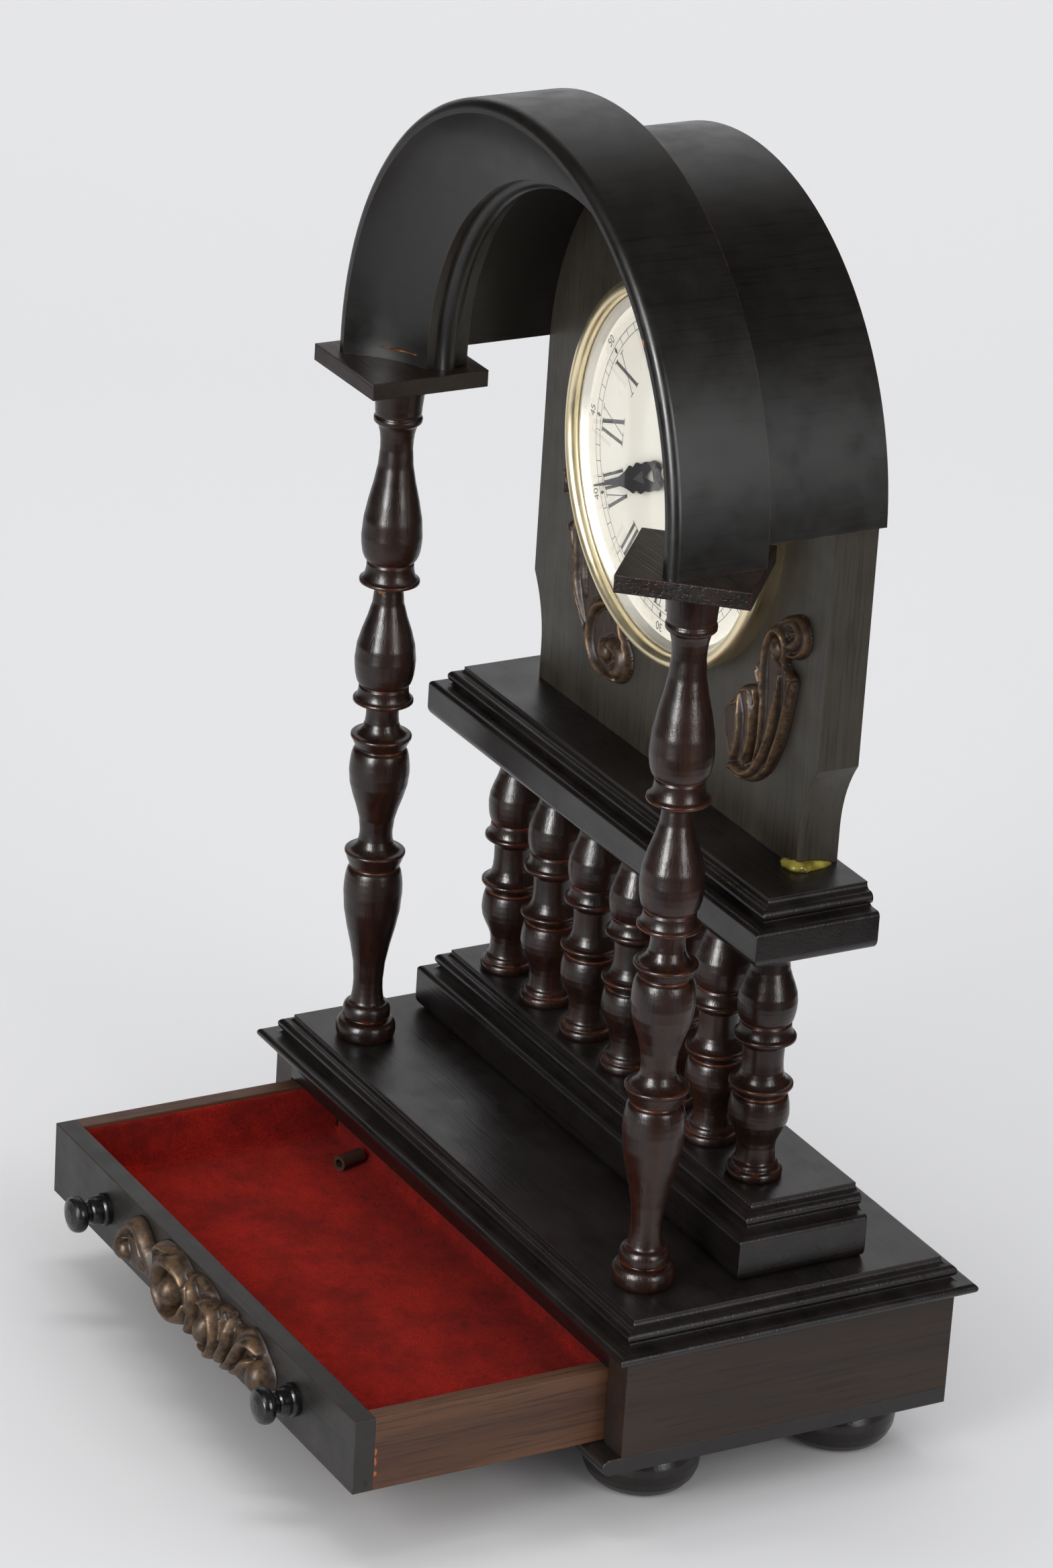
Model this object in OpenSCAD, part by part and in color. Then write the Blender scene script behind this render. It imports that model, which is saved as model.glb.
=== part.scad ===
// Table clock: a drawer base on bun feet, a stand of turned balusters, and a round dial under an arched
// hood whose front arch rests on two turned columns.
// Millimetres. The floor is z = 0, the front looks along -y and x = 0 is the middle of the clock.

/* [Base] */
// Width of the moulded base top over its lip
base_w = 250; // [240:1:290]
// Depth of the moulded base top over its lip
base_d = 129; // [124:1:150]
// Thickness of the base top
base_top_t = 10.6; // [10.4:0.1:14]
// How far the flat of the base top is set in from its lip
base_inset = 9.1; // [8.4:0.1:11]
// How far the base top overhangs each side of the carcass
overhang_side = 5; // [3:0.5:8]
// How far the base top overhangs the carcass at the front and at the back
overhang_front = 5.5; // [3:0.5:8]
// Clear height of the drawer's bay
bay_h = 34.5; // [30:0.5:50]
// Thickness of the carcass sides
side_t = 11; // [7:0.5:14]
// Thickness of the carcass back
back_t = 8; // [5:0.5:9]
// Thickness of the bottom board
bottom_t = 5.5; // [5:0.5:9]
// How far the bottom board stands out in front of the sides
bottom_nose = 6.5; // [2:0.5:10]
// Height of the rail over the drawer
rail_h = 8.9; // [6:0.1:12]
// Depth of the rail over the drawer
rail_d = 12; // [8:0.5:20]

/* [Feet] */
// Height of a bun foot
foot_h = 19.5; // [14:0.5:30]
// Greatest diameter of a bun foot
foot_d = 37.5; // [28:0.5:42]
// Distance of a foot's axis from the side of the carcass
foot_in_x = 26; // [22:0.5:34]
// Distance of a foot's axis from the front or the back of the carcass
foot_in_y = 23; // [22:0.5:30]

/* [Drawer] */
// How far the drawer is drawn out of its bay
drawer_out = 87; // [40:1:92]
// Length of the drawer from its front to its back
drawer_d = 108; // [98:1:108]
// Thickness of the drawer's front board
front_t = 7; // [6:0.5:10]
// Thickness of the drawer's sides and back
wall_t = 5.5; // [4:0.5:8]
// Thickness of the drawer's bottom
floor_t = 3; // [2:0.5:4]
// Thickness of the felt lining
felt_t = 1; // [0.6:0.1:2]
// Clearance beside the drawer on each side
drawer_side_gap = 1; // [0.4:0.1:2]
// Clearance over the drawer
drawer_top_gap = 0.5; // [0.4:0.1:1.5]
// Distance of each knob from the middle of the drawer
knob_x = 68; // [64:1:90]
// Greatest diameter of a knob, over its flange
knob_d = 12; // [9:0.1:14]
// How far a knob stands out of the drawer's front
knob_out = 14; // [10:0.5:20]
// Width of the carved ornament between the knobs
carving_w = 112; // [90:1:113]
// How far the carved ornament stands out of the drawer's front
carving_out = 9; // [6:0.5:12]
// Outer diameter of the small loose tube
tube_d = 5; // [5:0.5:8]
// Length of the small loose tube
tube_l = 10; // [8:1:13]
// Distance of the small loose tube from the lining of the drawer's left side
tube_in = 23.5; // [6:0.5:60]

/* [Stand] */
// Place of the pedestal's square back behind the middle of the base
stand_back = 32; // [26:0.5:40]
// Width of the pedestal over its moulding
pedestal_w = 215; // [205:1:225]
// Depth of the pedestal over its moulding
pedestal_d = 46; // [44:1:60]
// Height of the pedestal
pedestal_h = 22.7; // [18:0.1:30]
// Depth of the pedestal's moulding below its flat top
pedestal_lip = 9.3; // [9:0.1:12]
// How far the pedestal's flat is set in from its face
pedestal_inset = 8.2; // [8:0.1:11]
// Number of balusters
baluster_count = 7; // [3:1:8]
// Distance from the first baluster's axis to the last one's
baluster_span = 162.3; // [150:0.1:170]
// Length of a baluster between the pedestal and the shelf
baluster_h = 84.2; // [70:0.1:110]
// Greatest diameter of a baluster
baluster_d = 20.3; // [15:0.1:22]
// Width of the shelf over its moulding
shelf_w = 213; // [205:1:225]
// Depth of the shelf over its moulding
shelf_d = 43.5; // [42:0.5:56]
// Height of the shelf
shelf_h = 19.5; // [15:0.1:28]
// Depth of the shelf's moulding below its flat top
shelf_lip = 8.4; // [8.2:0.1:11]
// How far the shelf's flat is set in from its face
shelf_inset = 8.4; // [8:0.1:11]
// How far the shelf's back is set in front of the pedestal's back
shelf_setback = 4.8; // [0:0.1:8]

/* [Mouldings] */
// Radius of the upper cove of the mouldings
cove_r = 1.6; // [1:0.1:1.8]
// Radius of the bead of the mouldings
bead_r = 2; // [1.4:0.1:2.2]
// Radius of the nose of the mouldings
nose_r = 1.6; // [1:0.1:1.6]
// Radius of the lower edge of the pedestal and of the shelf
low_edge_r = 3.5; // [1:0.1:5]

/* [Panel and hood] */
// Half width of the dial panel, which is also the radius of its round top
panel_r = 89.3; // [86:0.1:94]
// Thickness of the dial panel
panel_t = 14.8; // [10:0.1:18]
// Height of the panel from the shelf to the centre of its round top
panel_straight = 112.4; // [106:0.1:130]
// How far the panel's back is set in front of the shelf's back
panel_setback = 1.2; // [0:0.1:4]
// How far the panel's foot is drawn in at each side
waist_in = 7.3; // [3:0.1:10]
// Height of the straight stretch at the panel's foot
waist_h = 11.5; // [6:0.5:16]
// Radius of the hollow over the panel's foot
waist_r = 41.5; // [30:0.5:60]
// Width of the right scroll ornament
right_scroll_w = 44.6; // [40:0.1:46]
// Height of the right scroll ornament
right_scroll_h = 65; // [60:0.1:68]
// Distance of that ornament's left end from the panel's right edge
right_scroll_in = 52.9; // [50:0.1:56]
// Height of that ornament's foot over the shelf
right_scroll_up = 15.8; // [12:0.1:20]
// Width of the left scroll ornament
left_scroll_w = 49.4; // [44:0.1:50]
// Height of the left scroll ornament
left_scroll_h = 66.1; // [60:0.1:68]
// Distance of that ornament's left end from the panel's left edge
left_scroll_in = 17.4; // [15:0.1:20]
// Height of that ornament's foot over the shelf
left_scroll_up = 16.4; // [12:0.1:20]
// How far both scroll ornaments stand out of the panel
scroll_out = 4.8; // [3.5:0.1:6]
// Wall of the hood
hood_t = 7.5; // [5:0.5:12]
// Depth of the hood from front to back
hood_d = 47.4; // [42:0.1:60]
// How far the hood's back is set in front of the panel's back
hood_setback = 2.2; // [0:0.1:4]
// Height of the hood's lower ends over the centre of its round
hood_end_up = 3.6; // [0:0.1:8]

/* [Arch and columns] */
// Width of the arch from its inner to its outer edge, seen from the front
arch_w = 26.5; // [22:0.5:30]
// Depth of the arch at its outside
arch_d = 33; // [30:0.5:40]
// How far the arch's inner edge lies inside the hood
arch_lap = 8.9; // [6:0.1:12]
// Height of the arch's centre over the centre of the panel's round top
arch_up = 4.3; // [0:0.1:8]
// Length of the straight feet of the arch
arch_leg = 3.6; // [2:0.1:10]
// Width of the flat rim round the arch's front
arch_rim = 4.5; // [3.2:0.1:7]
// Radius of the outer edge of the arch's front
arch_edge_r = 3; // [1:0.1:3.1]
// Radius of the deep cove of the arch
arch_cove_r = 40; // [30:0.5:60]
// How far the cove reaches back at the arch's inner edge
arch_cove_d = 18.5; // [12:0.1:19]
// Radius of the bead inside the arch
arch_bead_r = 3.4; // [2:0.1:3.6]
// Width of the square caps
cap_w = 41; // [34:0.5:46]
// Thickness of the caps
cap_t = 5.5; // [5.2:0.1:9]
// Turn of the right cap about its column, in degrees
cap_turn = -41; // [-45:1:45]
// Greatest diameter of a column
column_d = 20; // [15:0.1:24]

/* [Clock] */
// Drop of the dial's centre below the centre of the panel's round top
dial_drop = 11.4; // [6:0.1:20]
// Outer diameter of the bezel
bezel_d = 124.3; // [110:0.1:130]
// Radius of the bezel's roll
roll_r = 2.3; // [1.8:0.1:2.6]
// Thickness of the glass
glass_t = 1.4; // [1:0.1:2]
// Rise of the domed glass
glass_rise = 5; // [4:0.1:7]
// Length of the hour hand
hour_l = 33; // [26:0.5:38]
// Length of the minute hand
minute_l = 49.5; // [42:0.5:52]
// Hour shown
hour_shown = 1; // [0:1:11]
// Minutes shown
minute_shown = 41; // [0:1:59]
// Diameter of the movement's drum
drum_d = 84; // [76:1:90]
// How far the drum stands out behind the panel
drum_out = 18; // [12:0.5:20]
// Diameter of the knob that sets the hands
set_knob_d = 16; // [12:0.5:20]

/* [Joinery] */
// Diameter of the tenons of columns, balusters and feet
tenon_d = 8; // [5:0.5:8]
// Length of the tenons of balusters and feet, and at the tops of the columns
tenon_l = 4; // [3:0.5:4.5]
// Length of the tenons at the feet of the columns
column_tenon_l = 8; // [6:0.5:9]
// Radial clearance round a tenon
peg_gap = 0.1; // [0.05:0.01:0.2]
// Clearance between bodies that slide or turn past each other
run_gap = 0.3; // [0.2:0.05:0.6]
// Radial clearance of an arbor in its bore
arbor_gap = 0.06; // [0.03:0.01:0.1]

/* [Hidden] */
$fn = 96;
e = 0.01;

// Heights
bottom_z = foot_h;
bay_z = bottom_z + bottom_t;
top_under_z = bay_z + bay_h;
base_z = top_under_z + base_top_t;
pedestal_z = base_z + pedestal_h;
shelf_under_z = pedestal_z + baluster_h;
shelf_z = shelf_under_z + shelf_h;
dome_z = shelf_z + panel_straight;
dial_z = dome_z - dial_drop;
arch_z = dome_z + arch_up;
cap_z = arch_z - arch_leg;
column_top_z = cap_z - cap_t;
column_h = column_top_z - base_z;

// Carcass
carcass_w = base_w - 2 * overhang_side;
carcass_d = base_d - 2 * overhang_front;
carcass_y = -carcass_d / 2;
bay_w = carcass_w - 2 * side_t;
foot_x = carcass_w / 2 - foot_in_x;
foot_y = carcass_d / 2 - foot_in_y;

// Drawer, drawn out by drawer_out
drawer_w = bay_w - 2 * drawer_side_gap;
drawer_z = bay_z + run_gap;
drawer_h = bay_h - rail_h - drawer_top_gap - run_gap;
drawer_y = carcass_y - drawer_out;
floor_up = 1.2;
groove_d = 2;
knob_z = drawer_z + drawer_h / 2;
spigot_d = 4;
lining_drop = 1;
tube_turn = 109;
tube_bore_d = 3;
tube_room = (tube_l * sin(tube_turn) - tube_d * cos(tube_turn)) / 2 + 2;

// Stand
shelf_back = stand_back - shelf_setback;
baluster_y = shelf_back - shelf_d / 2;
step_h = 0.6;

// Panel, hood and arch
panel_back = shelf_back - panel_setback;
panel_face = panel_back - panel_t;
hood_in_r = panel_r + peg_gap;
hood_out_r = hood_in_r + hood_t;
arch_back = panel_back - hood_setback - hood_d;
arch_in_r = hood_in_r - arch_lap;
arch_out_r = arch_in_r + arch_w;
column_x = (arch_in_r + arch_out_r) / 2;
column_y = arch_back - arch_d / 2;
arch_bead_d = 25.5;

// Clock, in heights forward of the panel's face
ledge_t = 2.9;
dial_t = 0.8;
bezel_r = bezel_d / 2;
roll_up = 6.8;
throat_r = bezel_r - 2 * roll_r;
wall_step = 1;
bezel_wall_t = 2.6;
ledge_w = 9;
bezel_wall_out_r = bezel_r - wall_step;
bezel_wall_in_r = bezel_wall_out_r - bezel_wall_t;
ledge_r = bezel_wall_out_r - ledge_w;
dial_r = bezel_wall_in_r - peg_gap;
glass_gap = 0.25;
glass_r = throat_r - glass_gap;
glass_up = 5.6;
rim_w = 2.4;
rim_t = 0.6;
sight_r = glass_r - rim_w;
hour_up = 4.3;
minute_up = 5.4;
hand_t = 0.5;
hand_ring = 1.5;
nut_t = 1.4;
nut_d = 4.2;
arbor_d = 2.6;
pipe_d = 4.6;

// Back of the clock
drum_r = drum_d / 2;
drum_back = panel_t + drum_out;
ring_w = 5;
ring_t = 2;
set_knob_t = 5;
set_knob_l = 8;
arbor_tail = set_knob_l + 2 * run_gap;
key_at = [-18, -14];
key_d = 4;
key_in = 7;
key_out = 11;
key_boss_d = 9;
key_boss_h = 1.5;
bow_x = 7;
bow_r = 6.5;
bow_t = 1.6;
bow_hole_r = 3;

// Ways of drawing a turned outline from one station to the next
line = 0;
// upright at the start, level at the end
leave = 1;
// level at the start, upright at the end
arrive = 2;
// upright at both ends
swell = 3;
turn_steps = 5;

// Colours
ebony = "#2a211f";
walnut = "#4b3a2c";
bronze = "#5f4530";
brass = "#c9a95c";

// Turned outlines: each station is height, diameter and the way to the next station
foot_turning = [
    [0, 22, arrive], [9.5, 37.5, leave], [17.3, 27, line], [17.3, 25, line], [19.5, 25, line]
];
column_turning = [
    [0, 17.6, arrive], [3.4, 20, leave], [6.6, 16.2, line], [7, 13.8, line], [7.6, 13.8, line],
    [7.8, 15.8, line], [9.6, 15.8, leave], [12.5, 12.4, arrive], [20.5, 9.8, swell],
    [53, 19.5, leave], [61.6, 16.2, line], [61.8, 15.6, line], [62.4, 15.6, line], [62.6, 16.6, line],
    [66.6, 19.6, line], [66.9, 20, line], [67.7, 20, line], [67.9, 19.4, arrive], [73.5, 10.9, line],
    [75, 10.9, swell], [96, 19.9, leave], [104.2, 16.4, line], [104.4, 15.8, line], [105, 15.8, line],
    [105.2, 16.8, line], [108, 19.6, line], [108.3, 20, line], [109.1, 20, line], [109.3, 19.4, arrive],
    [115.5, 10.8, line], [119.2, 10.8, line], [120.9, 19.2, line], [121.1, 19.8, line],
    [121.9, 19.8, line], [122.2, 19.2, arrive], [126.2, 16.4, line], [126.4, 15.6, line],
    [127, 15.6, line], [127.2, 16, arrive], [136, 20, swell], [160.2, 9.4, line], [161, 9.4, line],
    [162.6, 19, line], [162.8, 19.7, line], [163.6, 19.7, line], [163.9, 19, arrive],
    [169.4, 15.4, line], [169.6, 14.8, line], [170.2, 14.8, line], [170.4, 15.2, arrive],
    [178.5, 19.8, swell], [209, 10.6, leave], [217.5, 14.6, line], [218, 15.6, line],
    [219.6, 15.6, line], [220, 15, swell], [234, 17.2, line]
];
baluster_turning = [
    [0, 16.4, arrive], [1.5, 17.8, leave], [3, 16.4, line], [3.2, 15.2, leave], [5.2, 13.6, arrive],
    [10.4, 12.1, swell], [21.6, 19.3, leave], [28.2, 16.4, line], [28.4, 15.8, line],
    [28.9, 15.8, line], [29.1, 16.8, line], [31.2, 19.9, line], [31.4, 20.3, line],
    [32.2, 20.3, line], [32.4, 19.8, arrive], [38.6, 13.2, line], [45.2, 13.2, line],
    [47.4, 19.3, line], [47.6, 19.8, line], [48.6, 19.8, line], [48.9, 19.3, arrive],
    [52.9, 16.4, line], [53.1, 15.6, line], [53.6, 15.6, line], [53.8, 16, arrive],
    [60.5, 18.8, swell], [73.8, 12.1, leave], [79, 13.6, arrive], [81, 15.2, line],
    [81.2, 16.4, arrive], [82.7, 17.8, leave], [84.2, 16.4, line]
];
knob_turning = [
    [0, 10.2, arrive], [1, 10.8, leave], [2.2, 10, line], [2.6, 9.4, leave], [6.4, 6.6, line],
    [7.6, 6.8, line], [8.4, 9.6, arrive], [10.2, 12, leave], [12.6, 9.2, line], [13.4, 5, line],
    [13.6, 0.4, line]
];

// Half outlines of the hands, half the width and the distance from the centre, and their pierced triangles:
// half the width, the foot and the tip
hour_outline = [
    [1.6, 1.5], [2.2, 4], [4.2, 6], [5.2, 9], [4.7, 12], [5.3, 14.5], [4.5, 17], [4.9, 19.5], [3.6, 22],
    [2.2, 25], [1.3, 28], [0.35, 33]
];
hour_hole = [2.3, 8.5, 14.5];
minute_outline = [
    [1.2, 1], [1.8, 4], [4, 6.2], [4.8, 8.4], [4.5, 11], [4.8, 14], [4.3, 17], [5, 19.8], [4.2, 21.4],
    [3.7, 23], [4.4, 24.6], [3.6, 26.4], [2.6, 28.6], [1.8, 31.4], [1.1, 34], [0.7, 38], [0.3, 49.5]
];
minute_hole = [2.2, 10.2, 17.4];

// Outlines, ridges and bosses of the ornaments. A ridge is its width and its line.
right_outline = [
    [15.6, 7.6], [18.4, 10], [20.8, 16], [21.9, 23], [22, 30], [21.4, 33.6], [18.5, 35], [15.6, 39],
    [17, 42.6], [20.4, 43.6], [20.6, 47], [21.4, 51.5], [23.8, 56.2], [27.5, 60.2], [33, 63.4], [38.6, 65.4],
    [43, 63.4], [44.8, 58.5], [43, 53.8], [39, 50.8], [34.6, 49.4], [33.4, 47.6], [35.4, 46.4], [39.4, 44.2],
    [38.8, 39], [37.4, 33], [35.9, 26], [33.2, 18.6], [29.5, 11.6], [25, 6.6], [19.5, 2.8], [13, 0.6],
    [7, 0.5], [3.3, 2.2], [4.8, 5], [3.6, 9], [1.2, 14], [0.2, 20], [3, 24.2], [6, 26], [6.4, 28.6],
    [8.8, 31], [13, 33], [17, 33.8], [18.6, 30.6], [19, 24], [18.6, 17], [17, 11]
];
right_ridges = [
    [1.7, [[18.2, 9], [21.6, 15.4], [22.9, 23], [23, 30], [22.4, 38], [21.9, 45], [22.8, 51],
        [25.4, 55.4], [29, 57.2], [32.4, 55.6]]],
    [1.7, [[31.4, 43], [31.6, 37], [30.4, 28.4], [28.4, 21], [25, 13.6], [20.6, 7.4], [15, 4.4],
        [9, 4.2], [5.4, 2.8]]],
    [1.5, [[15, 30.6], [17, 25], [17.4, 18], [15.8, 11]]],
    [1.5, [[8.8, 28], [10.4, 22], [10.8, 15.4], [9.6, 9.6], [6.8, 6]]],
    [2.4, [[33, 53.6], [38, 55.6], [41, 59.4], [38.6, 62.4], [33.4, 60.8]]]
];
right_bosses = [[[29, 51.4], 3.3]];
left_outline = [
    [12.2, 66.4], [9, 66.6], [5, 64.4], [0.8, 61.8], [0.2, 59.6], [1.4, 57.2], [1.7, 53.2], [2.6, 51.6],
    [6, 52.6], [7.8, 52.6], [9.4, 49], [9.8, 45.8], [5.3, 44.2], [5.8, 42], [8.4, 38], [9.6, 33], [10.6, 27],
    [11.9, 22], [14.6, 17.6], [17.8, 13.6], [20.4, 9.4], [22.9, 6.2], [26.5, 3.2], [31, 1.3], [36, 0.5],
    [41, 0.9], [45.2, 2.7], [48.4, 5.9], [49.6, 10], [48.8, 14], [46.5, 16.6], [44.4, 19.6], [43, 24],
    [42.6, 31], [28, 44], [19, 54]
];
left_ridges = [
    [1.7, [[36.5, 27.6], [33, 26.2], [29.8, 24.6], [26.9, 21.4], [25.2, 17], [24.8, 12.4], [25.8, 8.2],
        [28.6, 4.8], [32.2, 3], [36.4, 2.4]]],
    [3, [[40, 4.4], [44.4, 6], [46.6, 10], [44.8, 13.4], [40, 14.4], [35.4, 13.4]]],
    [1.6, [[9.8, 62], [10.8, 54], [12.4, 45], [13.6, 36], [14.6, 28], [17.4, 21], [21, 15]]],
    [1.5, [[3, 60.6], [6, 58.4], [8.4, 55]]]
];
left_bosses = [[[34.4, 11.4], 3.4]];
carving_outline = [
    [-55.6, -5.5], [-53.4, -0.5], [-50, 4.2], [-45, 8.6], [-39.5, 10.6], [-34, 8.4], [-29.8, 5],
    [-26.6, 7.4], [-23, 11], [-17, 12.2], [-9, 12], [-3, 9.4], [1, 10.6], [7, 11.6], [13, 10.2],
    [17, 8.2], [20.5, 9.4],
    [27, 10.4], [31, 7.8], [35, 8.6], [40.5, 11.2], [46, 9.4], [51, 6], [55, 2.6], [55.9, -2], [53, -7],
    [48, -8.4], [43, -6.4], [39, -7.6], [33, -10], [27, -11.6], [20, -12.3], [15, -11.4], [10, -12.2],
    [4, -12.2], [0, -10.8], [-4, -11.6], [-10, -12.2], [-17, -11.4], [-22, -9.6], [-27, -8], [-33, -7.6],
    [-38, -8.6], [-45, -9.4], [-51, -9], [-55, -7.8]
];
carving_ridges = [
    [3.2, [[-53, -4], [-49.6, 2], [-45, 6.6], [-40, 8], [-35.4, 6.2], [-31, 1.6], [-27.5, -4]]],
    [3, [[-3.2, 4.6], [-6.6, 7.4], [-11.4, 8.4], [-16.4, 6.4], [-19, 1.6], [-18.6, -4.2], [-14.6, -8.6],
        [-9, -9.4], [-4.2, -6.8], [-2, -2]]],
    [2.4, [[2.6, 8], [4.4, 2.6], [4, -4], [1.4, -9]]],
    [2, [[8.6, 3.6], [13.6, 6], [19, 4.2], [21.6, -1.6], [20.6, -7], [16.4, -9.8]]],
    [2.6, [[28.6, 8], [28.8, 3], [26, -3.6], [21.4, -9.4]]],
    [2.2, [[25.6, -9.4], [31, -6], [35.4, 0], [39.4, 5.6], [44, 7.6], [48, 6.2]]],
    [2, [[31.4, -8.4], [37, -4.6], [41, 0], [44.6, 1.8]]]
];
carving_bosses = [
    [[-48.6, -3.8], 4], [[-10.2, -0.4], 4.4], [[14, -2.6], 4.6], [[50, -1], 5]
];
curve_steps = 3;
base_share = 0.6;
ridge_share = 0.85;
crown_share = 0.75;
end_swell = 1.4;
carving_gap = 0.1;

function mixed(a, b, t) = a + (b - a) * t;

// Points of a turned outline between two stations, without the first
function stretch(a, b) =
    a[2] == line ? [[b[1] / 2, b[0]]] :
    [for (i = [1:turn_steps])
        let (s = i / turn_steps, t = 90 * s)
        a[2] == leave ? [mixed(a[1], b[1], 1 - cos(t)) / 2, mixed(a[0], b[0], sin(t))] :
        a[2] == arrive ? [mixed(a[1], b[1], sin(t)) / 2, mixed(a[0], b[0], 1 - cos(t))] :
        [mixed(a[1], b[1], (1 - cos(2 * t)) / 2) / 2, mixed(a[0], b[0], s)]
    ];

// Half outline of a turned piece, with its axis at x = 0
function turned_outline(s) = concat(
    [[0, s[0][0]], [s[0][1] / 2, s[0][0]]],
    [for (i = [0:len(s) - 2]) each stretch(s[i], s[i + 1])],
    [[0, s[len(s) - 1][0]]]
);

// A turned piece that stands on z = 0, with its stations drawn to its own length and greatest diameter
module turned(stations, length, width) {
    k_length = length / stations[len(stations) - 1][0];
    k_width = width / max([for (s = stations) s[1]]);
    rotate_extrude()
        polygon(turned_outline([for (s = stations) [s[0] * k_length, s[1] * k_width, s[2]]]));
}

// A tenon that stands up from z = 0, with a little of it sunk into its own piece
module tenon(length) {
    translate([0, 0, -1])
        cylinder(h = length + 1, d = tenon_d);
}

// The hole for a tenon, from z = 0 upwards
module tenon_hole(length) {
    translate([0, 0, -e])
        cylinder(h = length + peg_gap + e, d = tenon_d + 2 * peg_gap);
}

// What a rounding takes off a corner that points to +x and +y
module corner_waste(r) {
    translate([-r, -r])
        difference() {
            square(r + 1);
            circle(r);
        }
}

// Section of a moulded edge. The face is x = 0, the flat top is y = 0, and the board reaches back to -reach.
module edge_section(reach, t, inset, lip, low_r) {
    bead_x = -inset + cove_r + 0.4;
    bead_y = -step_h - cove_r - bead_r;
    low_cove_r = lip - nose_r + bead_y - step_h;
    translate([-reach, -t])
        square([reach - inset, t]);
    difference() {
        translate([-inset - e, -t])
            square([cove_r + e, t - step_h]);
        translate([-inset + cove_r, -step_h])
            circle(cove_r);
    }
    translate([bead_x, bead_y])
        circle(bead_r);
    difference() {
        translate([-inset - e, -t])
            square([bead_x + inset + low_cove_r + e, t + bead_y - step_h]);
        translate([bead_x + low_cove_r, bead_y - step_h])
            circle(low_cove_r);
    }
    difference() {
        translate([-inset - e, -t])
            square([inset + e, t - lip + nose_r]);
        translate([0, -lip + nose_r])
            corner_waste(nose_r);
        translate([0, -t])
            mirror([0, 1])
                corner_waste(low_r);
    }
}

// Section across a board with moulded edges, or with its right edge cut square
module board_section(width, t, inset, lip, low_r, square_right) {
    half = width / 2;
    if (square_right)
        translate([-1, -t])
            square([half + 1, t]);
    else
        translate([half, 0])
            edge_section(half + 1, t, inset, lip, low_r);
    mirror([1, 0])
        translate([half, 0])
            edge_section(half + 1, t, inset, lip, low_r);
}

// A board moulded and mitred round its edges, with its flat top at z = 0
module moulded_board(w, d, t, inset, lip, low_r, square_back) {
    intersection() {
        translate([-w / 2, 0, 0])
            rotate([90, 0, 90])
                linear_extrude(w)
                    board_section(d, t, inset, lip, low_r, square_back);
        translate([0, d / 2, 0])
            rotate([90, 0, 0])
                linear_extrude(d)
                    board_section(w, t, inset, lip, low_r, false);
    }
}

// A box given by its two corners
module block(low, high) {
    translate(low)
        cube(high - low);
}

// Where the balusters stand
function baluster_x(i) = -baluster_span / 2 + (i - 1) * baluster_span / (baluster_count - 1);

// Where the feet stand: 1 and 2 in front, 3 and 4 behind, the odd ones on the left
function foot_at(i) = [(i % 2 == 1 ? -1 : 1) * foot_x, (i <= 2 ? -1 : 1) * foot_y, 0];

module foot(i) {
    color(ebony)
        translate(foot_at(i)) {
            turned(foot_turning, foot_h, foot_d);
            translate([0, 0, foot_h])
                tenon(tenon_l);
        }
}

module base_bottom() {
    nose_y = carcass_y - bottom_nose;
    r = bottom_t / 2;
    color(walnut)
        difference() {
            union() {
                block([-carcass_w / 2, nose_y + r, bottom_z], [carcass_w / 2, -carcass_y, bay_z]);
                translate([-carcass_w / 2, nose_y + r, bottom_z + r])
                    rotate([0, 90, 0])
                        cylinder(h = carcass_w, r = r);
            }
            for (i = [1:4])
                translate(foot_at(i) + [0, 0, bottom_z])
                    tenon_hole(tenon_l);
        }
}

module base_side(side) {
    x = side * (carcass_w - side_t) / 2;
    color(walnut)
        block([x - side_t / 2, carcass_y, bay_z], [x + side_t / 2, -carcass_y, top_under_z]);
}

module base_back() {
    color(walnut)
        block([-bay_w / 2, -carcass_y - back_t, bay_z], [bay_w / 2, -carcass_y, top_under_z]);
}

module base_rail() {
    color(ebony)
        block([-bay_w / 2, carcass_y, top_under_z - rail_h], [bay_w / 2, carcass_y + rail_d, top_under_z]);
}

module base_top() {
    color(ebony)
        difference() {
            translate([0, 0, base_z])
                moulded_board(base_w, base_d, base_top_t, base_inset, base_top_t - nose_r, nose_r, false);
            for (side = [-1, 1])
                translate([side * column_x, column_y, base_z])
                    mirror([0, 0, 1])
                        tenon_hole(column_tenon_l);
        }
}

// Places in the drawer, from its left front lower corner
module in_drawer(x, y, z) {
    translate([-drawer_w / 2 + x, drawer_y + y, drawer_z + z])
        children();
}

module drawer_front() {
    color(ebony)
        difference() {
            in_drawer(0, 0, 0)
                cube([drawer_w, front_t, drawer_h]);
            in_drawer(wall_t - groove_d, front_t - groove_d, floor_up)
                cube([drawer_w - 2 * (wall_t - groove_d), groove_d + e, floor_t]);
            for (side = [-1, 1])
                translate([side * knob_x, drawer_y - e, knob_z])
                    rotate([-90, 0, 0])
                        cylinder(h = front_t + 2 * e, d = spigot_d + 2 * peg_gap);
        }
}

module drawer_side(side) {
    color(walnut)
        mirror([side > 0 ? 1 : 0, 0, 0])
            difference() {
                in_drawer(0, front_t, 0)
                    cube([wall_t, drawer_d - front_t, drawer_h]);
                in_drawer(wall_t - groove_d, front_t - e, floor_up)
                    cube([groove_d + e, drawer_d - front_t - wall_t + groove_d, floor_t]);
            }
}

module drawer_back() {
    color(walnut)
        difference() {
            in_drawer(wall_t, drawer_d - wall_t, 0)
                cube([drawer_w - 2 * wall_t, wall_t, drawer_h]);
            in_drawer(wall_t - e, drawer_d - wall_t - e, floor_up)
                cube([drawer_w, groove_d + e, floor_t]);
        }
}

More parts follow.
